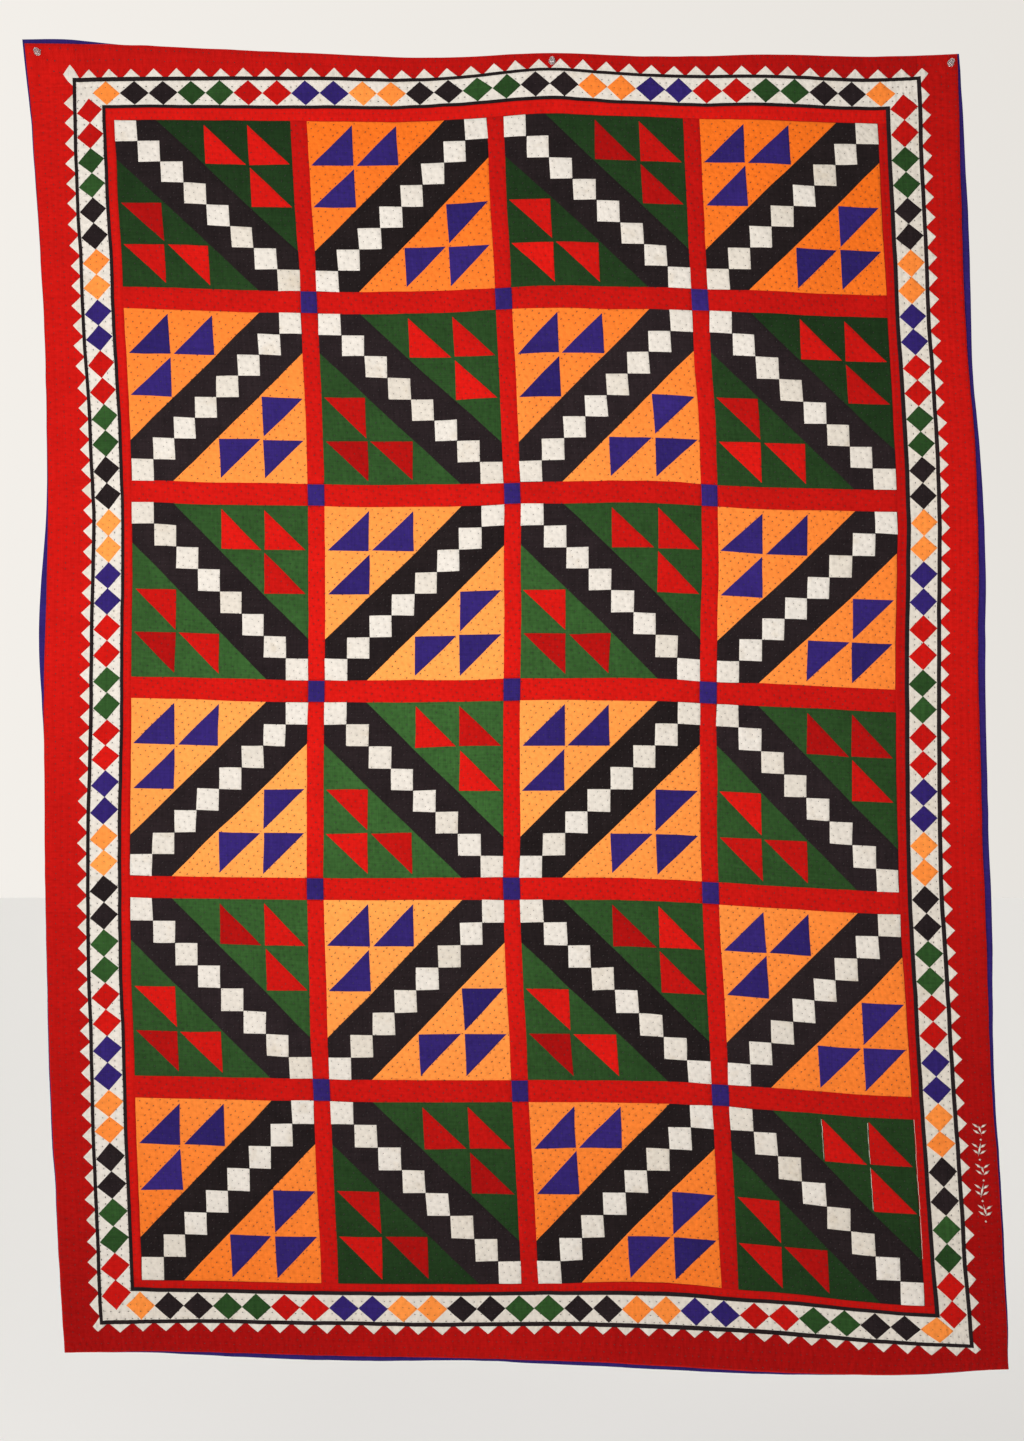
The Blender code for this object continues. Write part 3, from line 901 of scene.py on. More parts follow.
# ---- operators -------------------------------------------------------------
class RALLI_OT_stage(bpy.types.Operator):
    """Pale floor, soft light and the camera"""

    bl_idname = "ralli.stage"
    bl_label = "Stage"

    FLOOR_BELOW_M = 0.55
    FLOOR_REACH_M = 14.0
    LENS_MM = 50.0
    SENSOR_MM = 36.0
    CAMERA_AWAY_M = 2.91
    CAMERA_X_M = -0.058
    CAMERA_Z_M = -0.9565

    def execute(self, context):
        scene = context.scene
        studio = tuple(scene.ralli_colours.studio)
        self.add_floor(studio)
        self.add_world(scene)
        self.add_light("key_light", (-0.45, -1.75, -0.6), (1.2, 1.2), 21.0, (1.0, 0.98, 0.96))
        self.add_sun("window_light", 0.50, 28.0, (1.0, 0.99, 0.97), (1.1, 1.0, -0.8))
        self.add_sun("ceiling_light", 1.45, 40.0, (0.98, 0.98, 1.0), (-0.1, -0.55, -1.0))
        camera = bpy.data.objects.new("camera", bpy.data.cameras.new("camera"))
        camera.data.lens = self.LENS_MM
        camera.data.sensor_width = self.SENSOR_MM
        camera.location = (self.CAMERA_X_M, -self.CAMERA_AWAY_M, self.CAMERA_Z_M)
        camera.rotation_euler = (math.pi / 2.0, 0.0, 0.0)
        scene.collection.objects.link(camera)
        scene.camera = camera
        scene.view_settings.view_transform = "Standard"
        return {"FINISHED"}

    def add_floor(self, colour):
        """Painted board floor, far below and wide around the quilt."""
        low, _ = CAD_BOX
        mesh = bpy.data.meshes.new("studio_floor")
        reach = self.FLOOR_REACH_M
        level = low.z - self.FLOOR_BELOW_M
        corners = [(x * reach, y * reach, level) for x, y in ((-1, -1), (1, -1), (1, 1), (-1, 1))]
        mesh.from_pydata(corners, [], [(0, 1, 2, 3)])
        material, tree, shader = start_material("matt_paint_floor")
        darker = [part * 0.97 for part in colour]
        vary_colour(tree, shader, {"Scale": 1.2, "Detail": 3.0}, darker, colour)
        shader.inputs["Roughness"].default_value = 0.9
        mesh.materials.append(material)
        floor = bpy.data.objects.new("studio_floor", mesh)
        bpy.context.scene.collection.objects.link(floor)

    def add_world(self, scene):
        """Pale surroundings: lighter to the left, brightest behind the quilt."""
        world = bpy.data.worlds.new("studio")
        world.use_nodes = True
        tree = world.node_tree
        ground = tree.nodes["Background"]
        way = add_node(tree, "ShaderNodeTexCoord").outputs["Generated"]
        parts = add_node(tree, "ShaderNodeSeparateXYZ", {"Vector": way})
        ranges = {"From Min": 0.55, "From Max": 0.9, "To Min": 0.0, "To Max": 0.48}
        behind = add_node(tree, "ShaderNodeMapRange", {"Value": parts.outputs["Y"], **ranges})
        ranges = {"From Min": -1.0, "From Max": 1.0, "To Min": 0.60, "To Max": 0.20}
        aside = add_node(tree, "ShaderNodeMapRange", {"Value": parts.outputs["X"], **ranges})
        sums = {0: behind.outputs["Result"], 1: aside.outputs["Result"]}
        strength = add_node(tree, "ShaderNodeMath", sums, operation="ADD")
        ground.inputs["Color"].default_value = (*linear("#FBF7F1"), 1.0)
        tree.links.new(strength.outputs[0], ground.inputs["Strength"])
        scene.world = world

    @staticmethod
    def add_sun(name, power, spread, colour, way):
        """Broad even light: a large window on the left, or the ceiling."""
        data = bpy.data.lights.new(name, "SUN")
        data.energy = power
        data.angle = math.radians(spread)
        data.color = colour
        light = bpy.data.objects.new(name, data)
        light.rotation_euler = Vector(way).to_track_quat("-Z", "Y").to_euler()
        light.location = Vector(way) * -3.0
        bpy.context.scene.collection.objects.link(light)

    def add_light(self, name, place, size, power, colour):
        """Soft rectangular light aimed at the middle of the quilt."""
        low, high = CAD_BOX
        data = bpy.data.lights.new(name, "AREA")
        data.shape = "RECTANGLE"
        data.size, data.size_y = size
        data.energy = power
        data.color = colour
        light = bpy.data.objects.new(name, data)
        light.location = place
        aim = (low + high) / 2.0 - Vector(place)
        light.rotation_euler = aim.to_track_quat("-Z", "Y").to_euler()
        bpy.context.scene.collection.objects.link(light)


class RALLI_OT_ground(bpy.types.Operator):
    """Red ground cloth with its inner layers, and the backing cloth"""

    bl_idname = "ralli.ground"
    bl_label = "Ground and backing"

    def execute(self, context):
        sizes = context.scene.ralli_sizes
        ground = slab("red_ground_cloth", cloth_material("red"), None, 10.5, -0.8, -sizes.body, 0.7)
        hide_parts("quilt_top")
        keep_piece(ground)
        front = -sizes.body - PLY_GAP
        violet = cloth_material("violet")
        backing = slab("backing_sheet", violet, self.past_edges, 10.5, front, front - sizes.backing, 0.4)
        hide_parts("backing_cloth")
        context.scene["ralli_ground"] = ground
        context.scene["ralli_backing"] = backing
        return {"FINISHED"}

    @staticmethod
    def past_edges(s, t):
        """Move the outermost points out to where the backing's edge shows."""
        shares = [row[0] for row in BACKING_SHOWS]
        shows = {}
        for column, side in enumerate(("left", "right", "top", "bottom"), start=1):
            shows[side] = [row[column] for row in BACKING_SHOWS]
        down, across = t / LENGTH, s / WIDTH
        near = RIM + 0.1
        out_s = np.where(s < near, -curve(shares, shows["left"], down), 0.0)
        out_s = np.where(s > WIDTH - near, curve(shares, shows["right"], down), out_s)
        out_t = np.where(t < near, -curve(shares, shows["top"], across), 0.0)
        out_t = np.where(t > LENGTH - near, curve(shares, shows["bottom"], across), out_t)
        return s + out_s, t + out_t


class RALLI_OT_red_strips(bpy.types.Operator):
    """Red border, sashes and the narrow strip round the field"""

    bl_idname = "ralli.red_strips"
    bl_label = "Border and sashes"

    HEM = 2.2
    OVERLAP = 1.2
    LAP = 1.2

    @staticmethod
    def border_shade_tone(column, flat):
        """Painted shade tones of the border's side kept in the given column."""
        along = flat[:, 1] / LENGTH if column < 3 else flat[:, 0] / WIDTH
        return curve([row[0] for row in BORDER_SHADE_TONES], [row[column] for row in BORDER_SHADE_TONES], along)

    def execute(self, context):
        sizes = context.scene.ralli_sizes
        red = cloth_material("red")
        rise = 0.30 * sizes.ply
        border = Cutting()
        hem, far_s, far_t = self.HEM, WIDTH - self.HEM, LENGTH - self.HEM
        inner_s = (OUTER_S[0] + self.OVERLAP, OUTER_S[1] - self.OVERLAP)
        inner_t = (OUTER_T[0] + self.OVERLAP, OUTER_T[1] - self.OVERLAP)
        (in_left, in_right), (in_top, in_bottom) = inner_s, inner_t
        strips = (
            (((hem, hem), (hem, far_t)), ((in_left, hem), (in_left, far_t)), 1),
            (((in_right, hem), (in_right, far_t)), ((far_s, hem), (far_s, far_t)), 2),
            (((in_left, hem), (in_right, hem)), ((in_left, in_top), (in_right, in_top)), 3),
            (((in_left, in_bottom), (in_right, in_bottom)), ((in_left, far_t), (in_right, far_t)), 4),
        )
        for one, other, column in strips:
            # The border's tone is painted shade, darker towards the bottom and the right.
            add_patch(border, one, other, rise, partial(self.border_shade_tone, column), cell=2.9)
        keep_piece(border.piece("red_border_strips", red))

        sashes = Cutting()
        tones = seeded("sashes")
        half_s = sizes.sash_upright * 0.5 + 1.0
        half_t = sizes.sash_level * 0.5 + 1.0
        level = [FIELD_T[0], *SASH_T, FIELD_T[1]]
        for s in SASH_S:
            for top, bottom in zip(level, level[1:]):
                start = top + (half_t if top in SASH_T else 0.0)
                end = bottom - (half_t if bottom in SASH_T else 0.0)
                # Painted shade: the sash's tone grows away from a pool of light left of the middle, plus its
                # dye lot.
                tone = partial(painted_falloff_tone, share=0.55, lot=tones.uniform(0.0, 0.15))
                start -= self.LAP if top == FIELD_T[0] else 0.0
                end += self.LAP if bottom == FIELD_T[1] else 0.0
                ribbon(sashes, (s, start), (s, end), 2.0 * half_s, rise + 0.03, tone)
        upright = [FIELD_S[0], *SASH_S, FIELD_S[1]]
        for t in SASH_T:
            for left, right in zip(upright, upright[1:]):
                start = left + (half_s if left in SASH_S else 0.0)
                end = right - (half_s if right in SASH_S else 0.0)
                # Painted shade: the sash's tone grows away from a pool of light left of the middle, plus its
                # dye lot.
                tone = partial(painted_falloff_tone, share=0.5, lot=tones.uniform(0.05, 0.2))
                start -= self.LAP if left == FIELD_S[0] else 0.0
                end += self.LAP if right == FIELD_S[1] else 0.0
                ribbon(sashes, (start, t), (end, t), 2.0 * half_t, rise + 0.03, tone)
        keep_piece(sashes.piece("red_sashes", red, framed=False))

        edging = Cutting()
        for one, other, tone in self.edging_strips():
            add_patch(edging, one, other, rise, tone, cell=4.5)
        keep_piece(edging.piece("red_field_edging", red))
        return {"FINISHED"}

    @staticmethod
    def edging_strips():
        """Strips between the inner black line and the blocks."""
        (left, right), (top, bottom) = INNER_S, INNER_T
        (in_left, in_right), (in_top, in_bottom) = FIELD_S, FIELD_T
        yield ((left, top), (right, top)), ((left, in_top), (right, in_top)), 0.2
        yield ((left, in_bottom), (right, in_bottom)), ((left, bottom), (right, bottom)), 0.5
        yield ((left, in_top), (left, in_bottom)), ((in_left, in_top), (in_left, in_bottom)), 0.3
        yield ((in_right, in_top), (in_right, in_bottom)), ((right, in_top), (right, in_bottom)), 0.7


class RALLI_OT_blocks(bpy.types.Operator):
    """Pieced blocks: corners, diagonal band, white squares and triangles"""

    bl_idname = "ralli.blocks"
    bl_label = "Blocks"

    NAMES = {
        "green": "green_block_corners",
        "orange": "orange_block_corners",
        "black": "black_diagonal_bands",
        "white": "white_band_squares",
        "red": "red_block_triangles",
        "violet": "violet_block_triangles",
    }

    def execute(self, context):
        pieces = {cloth: Cutting() for cloth in self.NAMES}
        random = seeded("blocks")
        for row, column, low, high in block_frames():
            green = (row + column) % 2 == 0
            point = block_point(low, high, not green)
            self.add_corners(pieces["green" if green else "orange"], point, random)
            self.add_band(pieces["black"], point, random)
            self.add_squares(pieces["white"], point, random)
            self.add_triangles(pieces["red" if green else "violet"], point, random)
        # In the last block an off-white lining shows along some upright edges.
        edges = Cutting()
        for u, top, bottom in ((0.5, 0.03, 0.25), (0.75, 0.03, 0.25), (0.75, 0.27, 0.5), (1.004, 0.0, 0.75)):
            for start in np.arange(top, bottom - 0.005, 0.037):
                side = u + random.uniform(-0.002, 0.002)
                ends = point(side, start), point(side, min(start + 0.037, bottom))
                ribbon(edges, *ends, 0.6 * random.uniform(0.6, 1.3), ply(1.8), 0.9, turn=0.15, tuck=0.3)
        keep_piece(edges.piece("white_lining_edges", cloth_material("white")))
        for cloth, cutting in pieces.items():
            keep_piece(cutting.piece(self.NAMES[cloth], cloth_material(cloth)))
        return {"FINISHED"}

    def add_corners(self, cutting, point, random):
        """The two triangles of ground colour, reaching under the band."""
        reach = BAND_EDGE - 0.02
        for turn in (False, True):

            def place(u, v):
                return point(1.0 - u, 1.0 - v) if turn else point(u, v)

            # Painted shade: the corner's tone grows away from a pool of light left of the middle, plus its dye
            # lot.
            tone = partial(painted_falloff_tone, lot=random.uniform(-0.08, 0.08))
            one = (place(1.0, 0.0), place(reach, 0.0))
            other = (place(1.0, 0.0), place(1.0, 1.0 - reach))
            add_patch(cutting, one, other, ply(0.7), tone, cell=7.0)

    def add_band(self, cutting, point, random):
        """Black band along the diagonal."""
        edge = BAND_EDGE
        upper = (point(0.0, 0.0), point(edge, 0.0), point(1.0, 1.0 - edge), point(1.0, 1.0))
        lower = (point(0.0, 0.0), point(0.0, edge), point(1.0 - edge, 1.0), point(1.0, 1.0))
        add_patch(cutting, upper, lower, ply(1.1), random.uniform(0.0, 1.0))

    def add_squares(self, cutting, point, random):
        """White squares that step down the diagonal, corner to corner."""
        for step in range(SQUARES):
            low = step / SQUARES
            high = (step + 1) / SQUARES
            slip = random.uniform(-0.0022, 0.0022, 8)
            corners = (
                point(low + slip[0], low + slip[1]),
                point(high + slip[2], low + slip[3]),
                point(high + slip[4], high + slip[5]),
                point(low + slip[6], high + slip[7]),
            )
            tone = random.uniform(0.0, 1.0) ** 2
            add_patch(cutting, (corners[0], corners[1]), (corners[3], corners[2]), ply(2.0), tone, cell=5.5)

    def add_triangles(self, cutting, point, random):
        """Three right triangles in each coloured corner."""
        for turn in (False, True):
            for column, row in TRIANGLE_CELLS:
                left = column * 0.25 + TRIANGLE_SIDE_GAP
                right = (column + 1) * 0.25 - TRIANGLE_TIP_GAP
                top = row * 0.25 + TRIANGLE_TOP_GAP
                bottom = (row + 1) * 0.25 - TRIANGLE_BASE_GAP
                corners = ((left, bottom), (left, top), (right, bottom))
                slip = random.uniform(-0.0035, 0.0035, 6)
                shape = []
                for k, (u, v) in enumerate(corners):
                    u, v = u + slip[2 * k], v + slip[2 * k + 1]
                    shape.append(point(1.0 - u, 1.0 - v) if turn else point(u, v))
                tone = random.uniform(0.0, 1.0)
                add_patch(cutting, (shape[0], shape[1]), (shape[0], shape[2]), ply(1.7), tone)


class RALLI_OT_corner_stones(bpy.types.Operator):
    """Blue-violet squares where the sashes cross"""

    bl_idname = "ralli.corner_stones"
    bl_label = "Corner stones"

    def execute(self, context):
        sizes = context.scene.ralli_sizes
        cutting = Cutting()
        random = seeded("stones")
        for t in SASH_T:
            for s in SASH_S:
                half_s = sizes.sash_upright * 0.5 * random.uniform(0.96, 1.03)
                half_t = sizes.sash_level * 0.5 * random.uniform(0.93, 1.0)
                top = ((s - half_s, t - half_t), (s + half_s, t - half_t))
                bottom = ((s - half_s, t + half_t), (s + half_s, t + half_t))
                add_patch(cutting, top, bottom, ply(1.2), random.uniform(0.0, 0.7), cell=5.0)
        keep_piece(cutting.piece("violet_corner_stones", cloth_material("violet")))
        return {"FINISHED"}


class RALLI_OT_white_band(bpy.types.Operator):
    """White band with its diamonds, saw teeth and black lines"""

    bl_idname = "ralli.white_band"
    bl_label = "White band"

    CELL = 3.4
    LAP = 3.0
    DIAMOND_MARGIN = -0.3

    def execute(self, context):
        self.add_band()
        self.add_lines()
        self.add_diamonds()
        self.add_teeth()
        return {"FINISHED"}

    def add_band(self):
        """White strips between the two lines."""
        band = Cutting()
        (left, right), (top, bottom) = OUTER_S, OUTER_T
        (in_left, in_right), (in_top, in_bottom) = INNER_S, INNER_T
        upper, lower = in_top - self.LAP, in_bottom + self.LAP
        strips = (
            (((left, top), (right, top)), ((left, in_top), (right, in_top)), 0.2),
            (((left, in_bottom), (right, in_bottom)), ((left, bottom), (right, bottom)), 0.5),
            (((left, upper), (left, lower)), ((in_left, upper), (in_left, lower)), 0.1),
            (((in_right, upper), (in_right, lower)), ((right, upper), (right, lower)), 0.7),
        )
        for (one, other, tone), lift in zip(strips, (1.0, 1.0, 0.85, 0.85)):
            add_patch(band, one, other, ply(lift), tone, cell=self.CELL)
        keep_piece(band.piece("white_band_strips", cloth_material("white")))

    def add_lines(self):
        """Narrow black strips along both sides of the band."""
        lines = Cutting()
        wide = {side: width * 0.5 for side, width in LINE_WIDTHS.items()}
        for (left, right), (top, bottom) in ((OUTER_S, OUTER_T), (INNER_S, INNER_T)):
            ends = (left - wide["left"], right + wide["right"])
            for side, level, tone in (("top", top, 0.2), ("bottom", bottom, 0.6)):
                across = (ends[0], level), (ends[1], level)
                ribbon(lines, *across, 2.0 * wide[side], ply(2.6), tone, cell=self.CELL)
            ends = (top - wide["top"], bottom + wide["bottom"])
            for side, place, tone in (("left", left, 0.4), ("right", right, 0.7)):
                down = (place, ends[0]), (place, ends[1])
                ribbon(lines, *down, 2.0 * wide[side], ply(2.7), tone, cell=self.CELL)
        keep_piece(lines.piece("black_lines", cloth_material("black")))

    def add_diamonds(self):
        """Diamonds in pairs of colours, point to point along the band."""
        cuttings = {letter: Cutting() for letter in DIAMOND_CLOTHS}
        random = seeded("diamonds")
        for side, colours, marks, slant in DIAMOND_SIDES:
            counts, places = zip(*marks)
            points = np.interp(np.arange(len(colours) + 1), counts, places)
            points += random.uniform(-0.8, 0.8, len(points))
            for letter, start, end in zip(colours, points, points[1:]):
                self.add_diamond(cuttings[letter], side, start - 0.5, end + 0.5, slant, random)
        for letter, cutting in cuttings.items():
            cloth = DIAMOND_CLOTHS[letter]
            keep_piece(cutting.piece(f"{cloth}_diamonds", cloth_material(cloth)))

    def add_diamond(self, cutting, side, start, end, slant, random):
        """One diamond, its outer and inner points near the lines."""
        low, high = {
            "top": (OUTER_T[0], INNER_T[0]),
            "bottom": (OUTER_T[1], INNER_T[1]),
            "left": (OUTER_S[0], INNER_S[0]),
            "right": (OUTER_S[1], INNER_S[1]),
        }[side]
        middle = 0.5 * (low + high)
        half = (abs(high - low) - LINE_WIDTHS[side]) * 0.5 - self.DIAMOND_MARGIN
        outward = 1.0 if low > high else -1.0
        along = 0.5 * (start + end)
        slip = random.uniform(-0.7, 0.7, 6)
        points = (
            (start, middle + slip[0]),
            (along + slant * 0.5 + slip[1], middle + outward * (half + 0.5 * slip[2])),
            (end, middle + slip[3]),
            (along - slant * 0.5 + slip[4], middle - outward * (half + 0.5 * slip[5])),
        )
        if side in ("left", "right"):
            points = [(b, a) for a, b in points]
        # Partly painted shade: the diamond's tone grows away from a pool of light, plus its dye lot.
        tone = partial(painted_falloff_tone, share=0.35, lot=random.uniform(0.05, 0.35))
        add_patch(cutting, (points[0], points[1]), (points[3], points[2]), ply(1.9), tone, cell=self.CELL)

    def add_teeth(self):
        """White saw teeth that point outwards from the outer line."""
        teeth = Cutting()
        random = seeded("teeth")
        for side, count, height, base, marks in TOOTH_SIDES:
            numbers, places = zip(*marks)
            middles = np.interp(np.arange(1, count + 1), numbers, places)
            reach = base * 0.5 * (middles[-1] - middles[0]) / (count - 1)
            for middle in middles:
                slip = random.uniform(-1.0, 1.0, 3)
                tip = side_place(side, middle + slip[0], height * (1.0 + 0.05 * slip[1]))
                first = side_place(side, middle - reach, 0.8)
                last = side_place(side, middle + reach, 0.8)
                tone = random.uniform(0.1, 0.7)
                add_patch(teeth, (tip, first), (tip, last), ply(1.4), tone, cell=self.CELL)
        for s, way_s in zip(OUTER_S, (-1.0, 1.0)):
            for t, way_t in zip(OUTER_T, (-1.0, 1.0)):
                self.add_corner_tooth(teeth, s, t, way_s, way_t)
        keep_piece(teeth.piece("white_saw_teeth", cloth_material("white")))

    @staticmethod
    def add_corner_tooth(teeth, s, t, way_s, way_t):
        """Small tilted square at each corner of the band."""

        def corner(out_s, out_t):
            return (s + way_s * out_s, t + way_t * out_t)

        one = (corner(-9.0, 1.0), corner(5.5, 14.0))
        other = (corner(1.0, -9.0), corner(14.0, 5.5))
        add_patch(teeth, one, other, ply(1.45), 0.3, cell=3.0)


class RALLI_OT_stitches(bpy.types.Operator):
    """Running stitches of the quilting, row by row"""

    bl_idname = "ralli.stitches"
    bl_label = "Quilting stitches"

    # Largest slips of a stitch along and beside its row, and the share left out.
    FIELD_SLIP_ALONG = 2.4
    FIELD_SLIP_BESIDE = 1.1
    FIELD_MISSED = 0.10
    BORDER_SLIP_ALONG = 2.0
    BORDER_SLIP_BESIDE = 0.8
    BORDER_MISSED = 0.08
    LONGEST_ROW = 140
    FIELD_MARGIN = 2.0
    TURN = 0.22

    def execute(self, context):
        self.sizes = context.scene.ralli_sizes
        dyes = context.scene.ralli_colours
        # The dark thread colour is partly painted shade where the stitches sink into the cloth.
        thread = thread_material("cotton_thread_dark", tuple(dyes.thread), 0.75, 0.1)
        keep_piece(self.field_rows().piece("field_quilting_stitches", thread))
        self.add_border(thread)
        behind = self.field_rows(behind=True).piece("backing_quilting_stitches", thread, fine=False)
        context.scene["ralli_backing_stitches"] = keep_piece(behind)
        return {"FINISHED"}

    def field_rows(self, behind=False):
        """Slanting rows over the blocks and sashes, or where they come out behind."""
        stitches = Cutting()
        random = seeded("field stitches")
        low = np.array((FIELD_S[0], FIELD_T[0])) + self.FIELD_MARGIN
        high = np.array((FIELD_S[1], FIELD_T[1])) - self.FIELD_MARGIN
        way = np.array((1.0, -1.0)) * SQRT_HALF
        aside = np.array((1.0, 1.0)) * SQRT_HALF
        first = int(low.sum() * SQRT_HALF / self.sizes.row) + 1
        last = int(high.sum() * SQRT_HALF / self.sizes.row)
        step = self.sizes.stitch_step
        for row in range(first, last + 1):
            for count in range(-self.LONGEST_ROW, self.LONGEST_ROW):
                slip = random.uniform(-self.FIELD_SLIP_ALONG, self.FIELD_SLIP_ALONG)
                along = (count + 0.5 * ((row + behind) % 2)) * step + slip
                beside = random.uniform(-self.FIELD_SLIP_BESIDE, self.FIELD_SLIP_BESIDE)
                middle = aside * (row * self.sizes.row + beside) + way * along
                inside = (middle > low).all() and (middle < high).all()
                if inside and random.uniform() > self.FIELD_MISSED:
                    self.add_stitch(stitches, middle, way, random, behind)
        return stitches

    def add_border(self, thread):
        """Rows that run round the quilt beside its edges."""
        stitches = Cutting()
        random = seeded("border stitches")
        row = 0
        while FIRST_ROW + row * self.sizes.row < FIELD_S[0]:
            for start, end in self.ring(FIRST_ROW + row * self.sizes.row):
                self.add_run(stitches, start, end, row, random)
            row += 1
        keep_piece(stitches.piece("border_quilting_stitches", thread))

    def add_run(self, stitches, start, end, row, random):
        """Stitches of one straight run, counted from both ends of the cloth."""
        step = self.sizes.stitch_step
        upright = start[0] == end[0]
        way = np.array((0.0, 1.0)) if upright else np.array((1.0, 0.0))
        first, whole = (start[1], LENGTH) if upright else (start[0], WIDTH)
        for count in range(int(first / step) + 1, int(0.5 * whole / step)):
            for from_far in (False, True):
                slip = random.uniform(-self.BORDER_SLIP_ALONG, self.BORDER_SLIP_ALONG)
                along = (count + 0.5 * (row % 2)) * step + slip
                along = whole - along if from_far else along
                beside = random.uniform(-self.BORDER_SLIP_BESIDE, self.BORDER_SLIP_BESIDE)
                middle = (start[0] + beside, along) if upright else (along, start[1] + beside)
                if random.uniform() > self.BORDER_MISSED:
                    self.add_stitch(stitches, np.array(middle), way, random)

    @staticmethod
    def ring(inset):
        """The four runs of one row round the quilt."""
        limit_t = min(inset, FIELD_T[0] - 4.0)
        left, right = inset, WIDTH - inset
        top, bottom = limit_t, LENGTH - min(inset, LENGTH - FIELD_T[1] - 4.0)
        runs = [((left, top), (left, bottom)), ((right, top), (right, bottom))]
        if inset < FIELD_T[0] - 3.0:
            runs.append(((left, top), (right, top)))
        if inset < LENGTH - FIELD_T[1] - 3.0:
            runs.append(((left, bottom), (right, bottom)))
        return runs

    def add_stitch(self, stitches, middle, way, random, behind=False):
        """One stitch: a short rounded bead of thread, both ends in the cloth."""
        turned = random.uniform(-self.TURN, self.TURN)
        way = np.array((way[0] - way[1] * turned, way[1] + way[0] * turned))
        length = self.sizes.stitch * random.uniform(0.75, 1.25)
        rise = -PLY_GAP - self.sizes.body - self.sizes.backing if behind else self.top_of(middle)
        add_bead(stitches, middle, way * length * 0.5, self.sizes.thread * 0.5, rise, behind)

    @staticmethod
    def top_of(middle):
        """Height of the uppermost cloth, near enough to sit a stitch on."""
        s, t = middle
        in_band = OUTER_S[0] < s < OUTER_S[1] and OUTER_T[0] < t < OUTER_T[1]
        in_edging = INNER_S[0] + 4.0 < s < INNER_S[1] - 4.0 and INNER_T[0] + 4.0 < t < INNER_T[1] - 4.0
        in_field = FIELD_S[0] < s < FIELD_S[1] and FIELD_T[0] < t < FIELD_T[1]
        return ply(1.9) if in_field or (in_band and not in_edging) else ply(0.45)


def add_bead(cutting, middle, half, radius, rise, behind=False):
    """Closed bead of thread, flat underneath and pointed at both ends."""
    out = -1.0 if behind else 1.0
    side = np.array((-half[1], half[0])) / max(np.hypot(*half), 1e-6) * radius
    flat = (middle - half, middle + half, middle - side, middle + side, middle)
    rises = (rise - 0.25 * out, rise - 0.25 * out, rise - 0.1 * out, rise - 0.1 * out, rise + radius * out)
    faces = ((0, 4, 2), (0, 3, 4), (1, 2, 4), (1, 4, 3), (0, 2, 1, 3))
    if behind:
        faces = tuple(tuple(reversed(face)) for face in faces)
    cutting.take(flat, rises, faces, 0.5)


class RALLI_OT_sprigs(bpy.types.Operator):
    """Row of small white sprigs embroidered in the right border"""

    bl_idname = "ralli.sprigs"
    bl_label = "Embroidered sprigs"

    COUNT = 5
    FIRST_T = 1534.0
    STEP_T = 29.0
    MIDDLE_S = 1320.0

    def execute(self, context):
        floss = thread_material("cotton_floss_white", tuple(context.scene.ralli_colours.floss), 0.6, 0.2)
        cutting = Cutting()
        rise = ply(0.7)
        for k in range(self.COUNT):
            lean = 1.0 if k % 2 == 0 else -1.0
            middle = np.array((self.MIDDLE_S + 1.5 * lean, self.FIRST_T + k * self.STEP_T))
            add_bead(cutting, middle, np.array((2.5 * lean, 10.5)), 1.7, rise)
            for reach, drop in ((9.0, -5.5), (8.0, 3.5)):
                for way in (-1.0, 1.0):
                    leaf = middle + np.array((way * reach * 0.62, drop))
                    add_bead(cutting, leaf, np.array((way * 5.2, -3.4)), 1.9, rise)
            add_bead(cutting, middle + np.array((0.0, 14.5)), np.array((2.0, 0.0)), 1.8, rise)
        keep_piece(cutting.piece("embroidered_sprigs", floss))
        return {"FINISHED"}


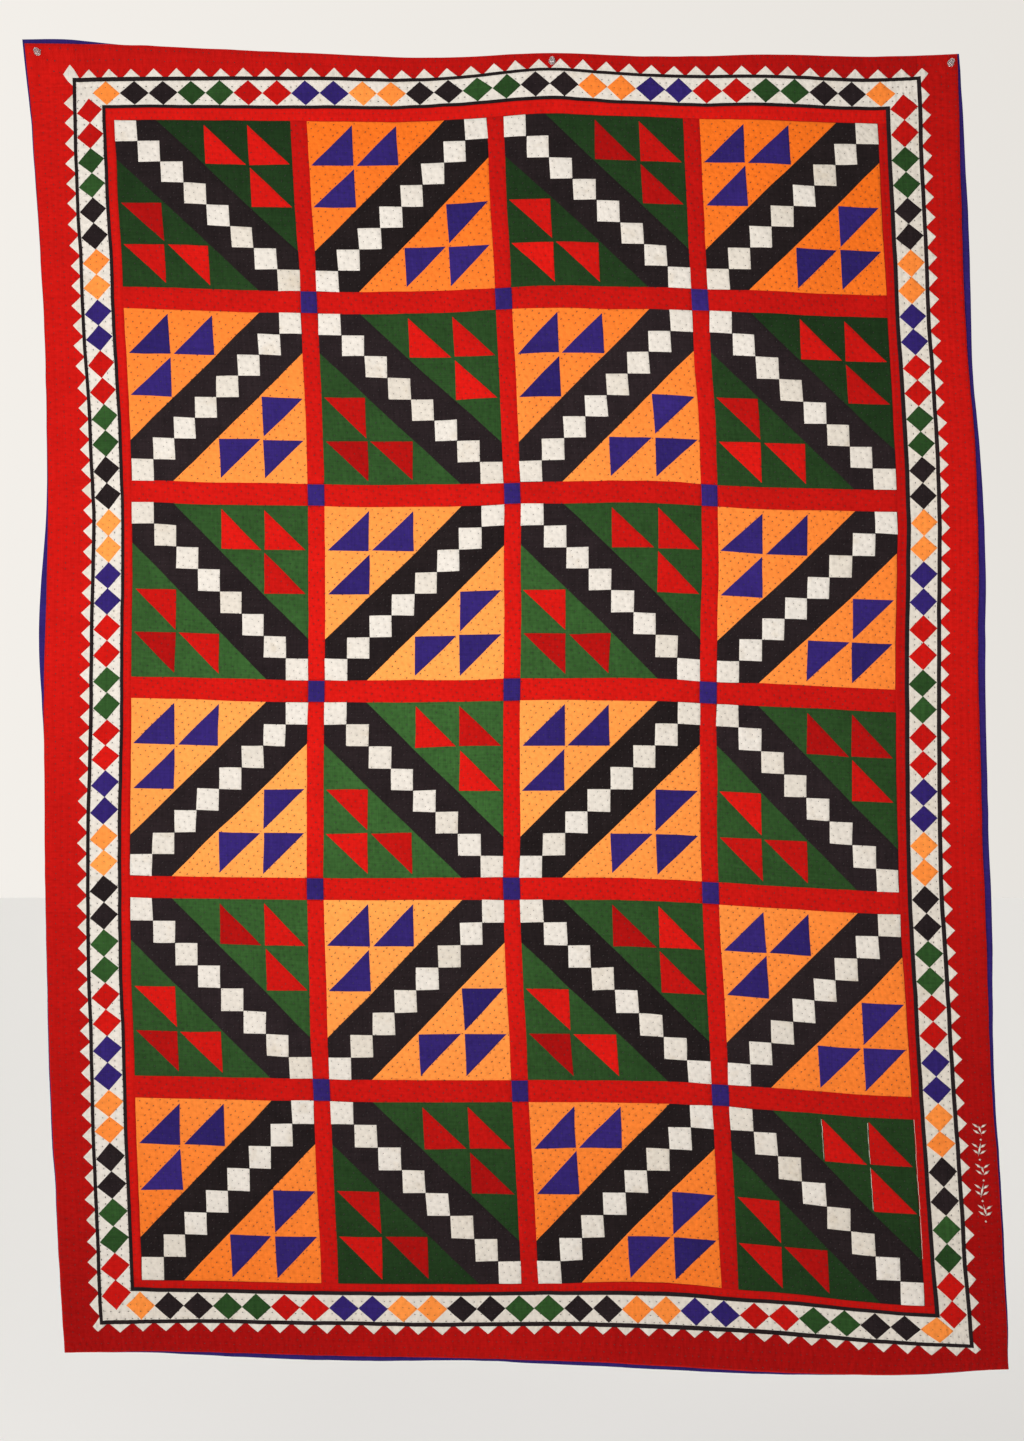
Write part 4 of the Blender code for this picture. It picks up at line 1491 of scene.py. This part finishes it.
class RALLI_OT_pins(bpy.types.Operator):
    """Finishes of the clear push pins"""

    bl_idname = "ralli.pins"
    bl_label = "Push pins"

    def execute(self, context):
        clear = self.clear_plastic()
        steel = self.steel()
        for label in ("left", "middle", "right"):
            self.finish(f"pin_{label}_head", clear)
            self.finish(f"pin_{label}_point", steel)
        return {"FINISHED"}

    @staticmethod
    def finish(node, material):
        """Put a material on a carried-over node."""
        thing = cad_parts[node]
        for place in thing.material_slots:
            place.material = material

    @staticmethod
    def clear_plastic():
        """Polystyrene, moulded: clear and glossy, a little clouded by flow lines."""
        material, tree, shader = start_material("polystyrene_clear_moulded")
        clouds = {"Scale": 260.0, "Detail": 3.0}
        vary_colour(tree, shader, clouds, linear("#E9ECEC"), linear("#F7F8F7"))
        shader.inputs["Roughness"].default_value = 0.08
        shader.inputs["IOR"].default_value = 1.59
        shader.inputs["Transmission Weight"].default_value = 0.85
        return material

    @staticmethod
    def steel():
        """Bright drawn steel wire: fine marks along its length."""
        material, tree, shader = start_material("steel_wire_drawn")
        marks = {"Scale": 900.0, "Detail": 2.0}
        vary_colour(tree, shader, marks, linear("#B9BABC"), linear("#D8D9DB"))
        shader.inputs["Metallic"].default_value = 1.0
        shader.inputs["Roughness"].default_value = 0.25
        return material


class RALLI_OT_declare(bpy.types.Operator):
    """Step that does nothing: no pieces are declared as sheets here"""

    bl_idname = "ralli.declare"
    bl_label = "Declare the sheets"

    FLAT_M = (1.36, 1.90)

    def execute(self, context):
        return {"FINISHED"}


class RALLI_PT_panel(bpy.types.Panel):
    """Quilt tools"""

    bl_label = "Ralli quilt"
    bl_idname = "RALLI_PT_panel"
    bl_space_type = "VIEW_3D"
    bl_region_type = "UI"
    bl_category = "Ralli"

    def draw(self, context):
        layout = self.layout
        for operator in OPERATORS:
            layout.operator(operator.bl_idname)
        for settings in (context.scene.ralli_sizes, context.scene.ralli_colours):
            box = layout.box()
            for name in settings.bl_rna.properties.keys():
                if name not in ("rna_type", "name"):
                    box.prop(settings, name)


OPERATORS = (
    RALLI_OT_stage,
    RALLI_OT_ground,
    RALLI_OT_red_strips,
    RALLI_OT_blocks,
    RALLI_OT_corner_stones,
    RALLI_OT_white_band,
    RALLI_OT_stitches,
    RALLI_OT_sprigs,
    RALLI_OT_pins,
    RALLI_OT_declare,
)
CLASSES = (RalliColours, RalliSizes, *OPERATORS, RALLI_PT_panel)


def register():
    """Register the classes and the scene's settings."""
    for cls in CLASSES:
        bpy.utils.register_class(cls)
    bpy.types.Scene.ralli_colours = PointerProperty(type=RalliColours)
    bpy.types.Scene.ralli_sizes = PointerProperty(type=RalliSizes)


def unregister():
    """Remove the settings and the classes."""
    del bpy.types.Scene.ralli_sizes
    del bpy.types.Scene.ralli_colours
    for cls in reversed(CLASSES):
        bpy.utils.unregister_class(cls)


def main():
    """Build everything in order."""
    register()
    bpy.ops.ralli.stage()
    bpy.ops.ralli.ground()
    bpy.ops.ralli.red_strips()
    bpy.ops.ralli.blocks()
    bpy.ops.ralli.corner_stones()
    bpy.ops.ralli.white_band()
    bpy.ops.ralli.stitches()
    bpy.ops.ralli.sprigs()
    bpy.ops.ralli.pins()
    bpy.ops.ralli.declare()


if __name__ == "__main__":
    main()
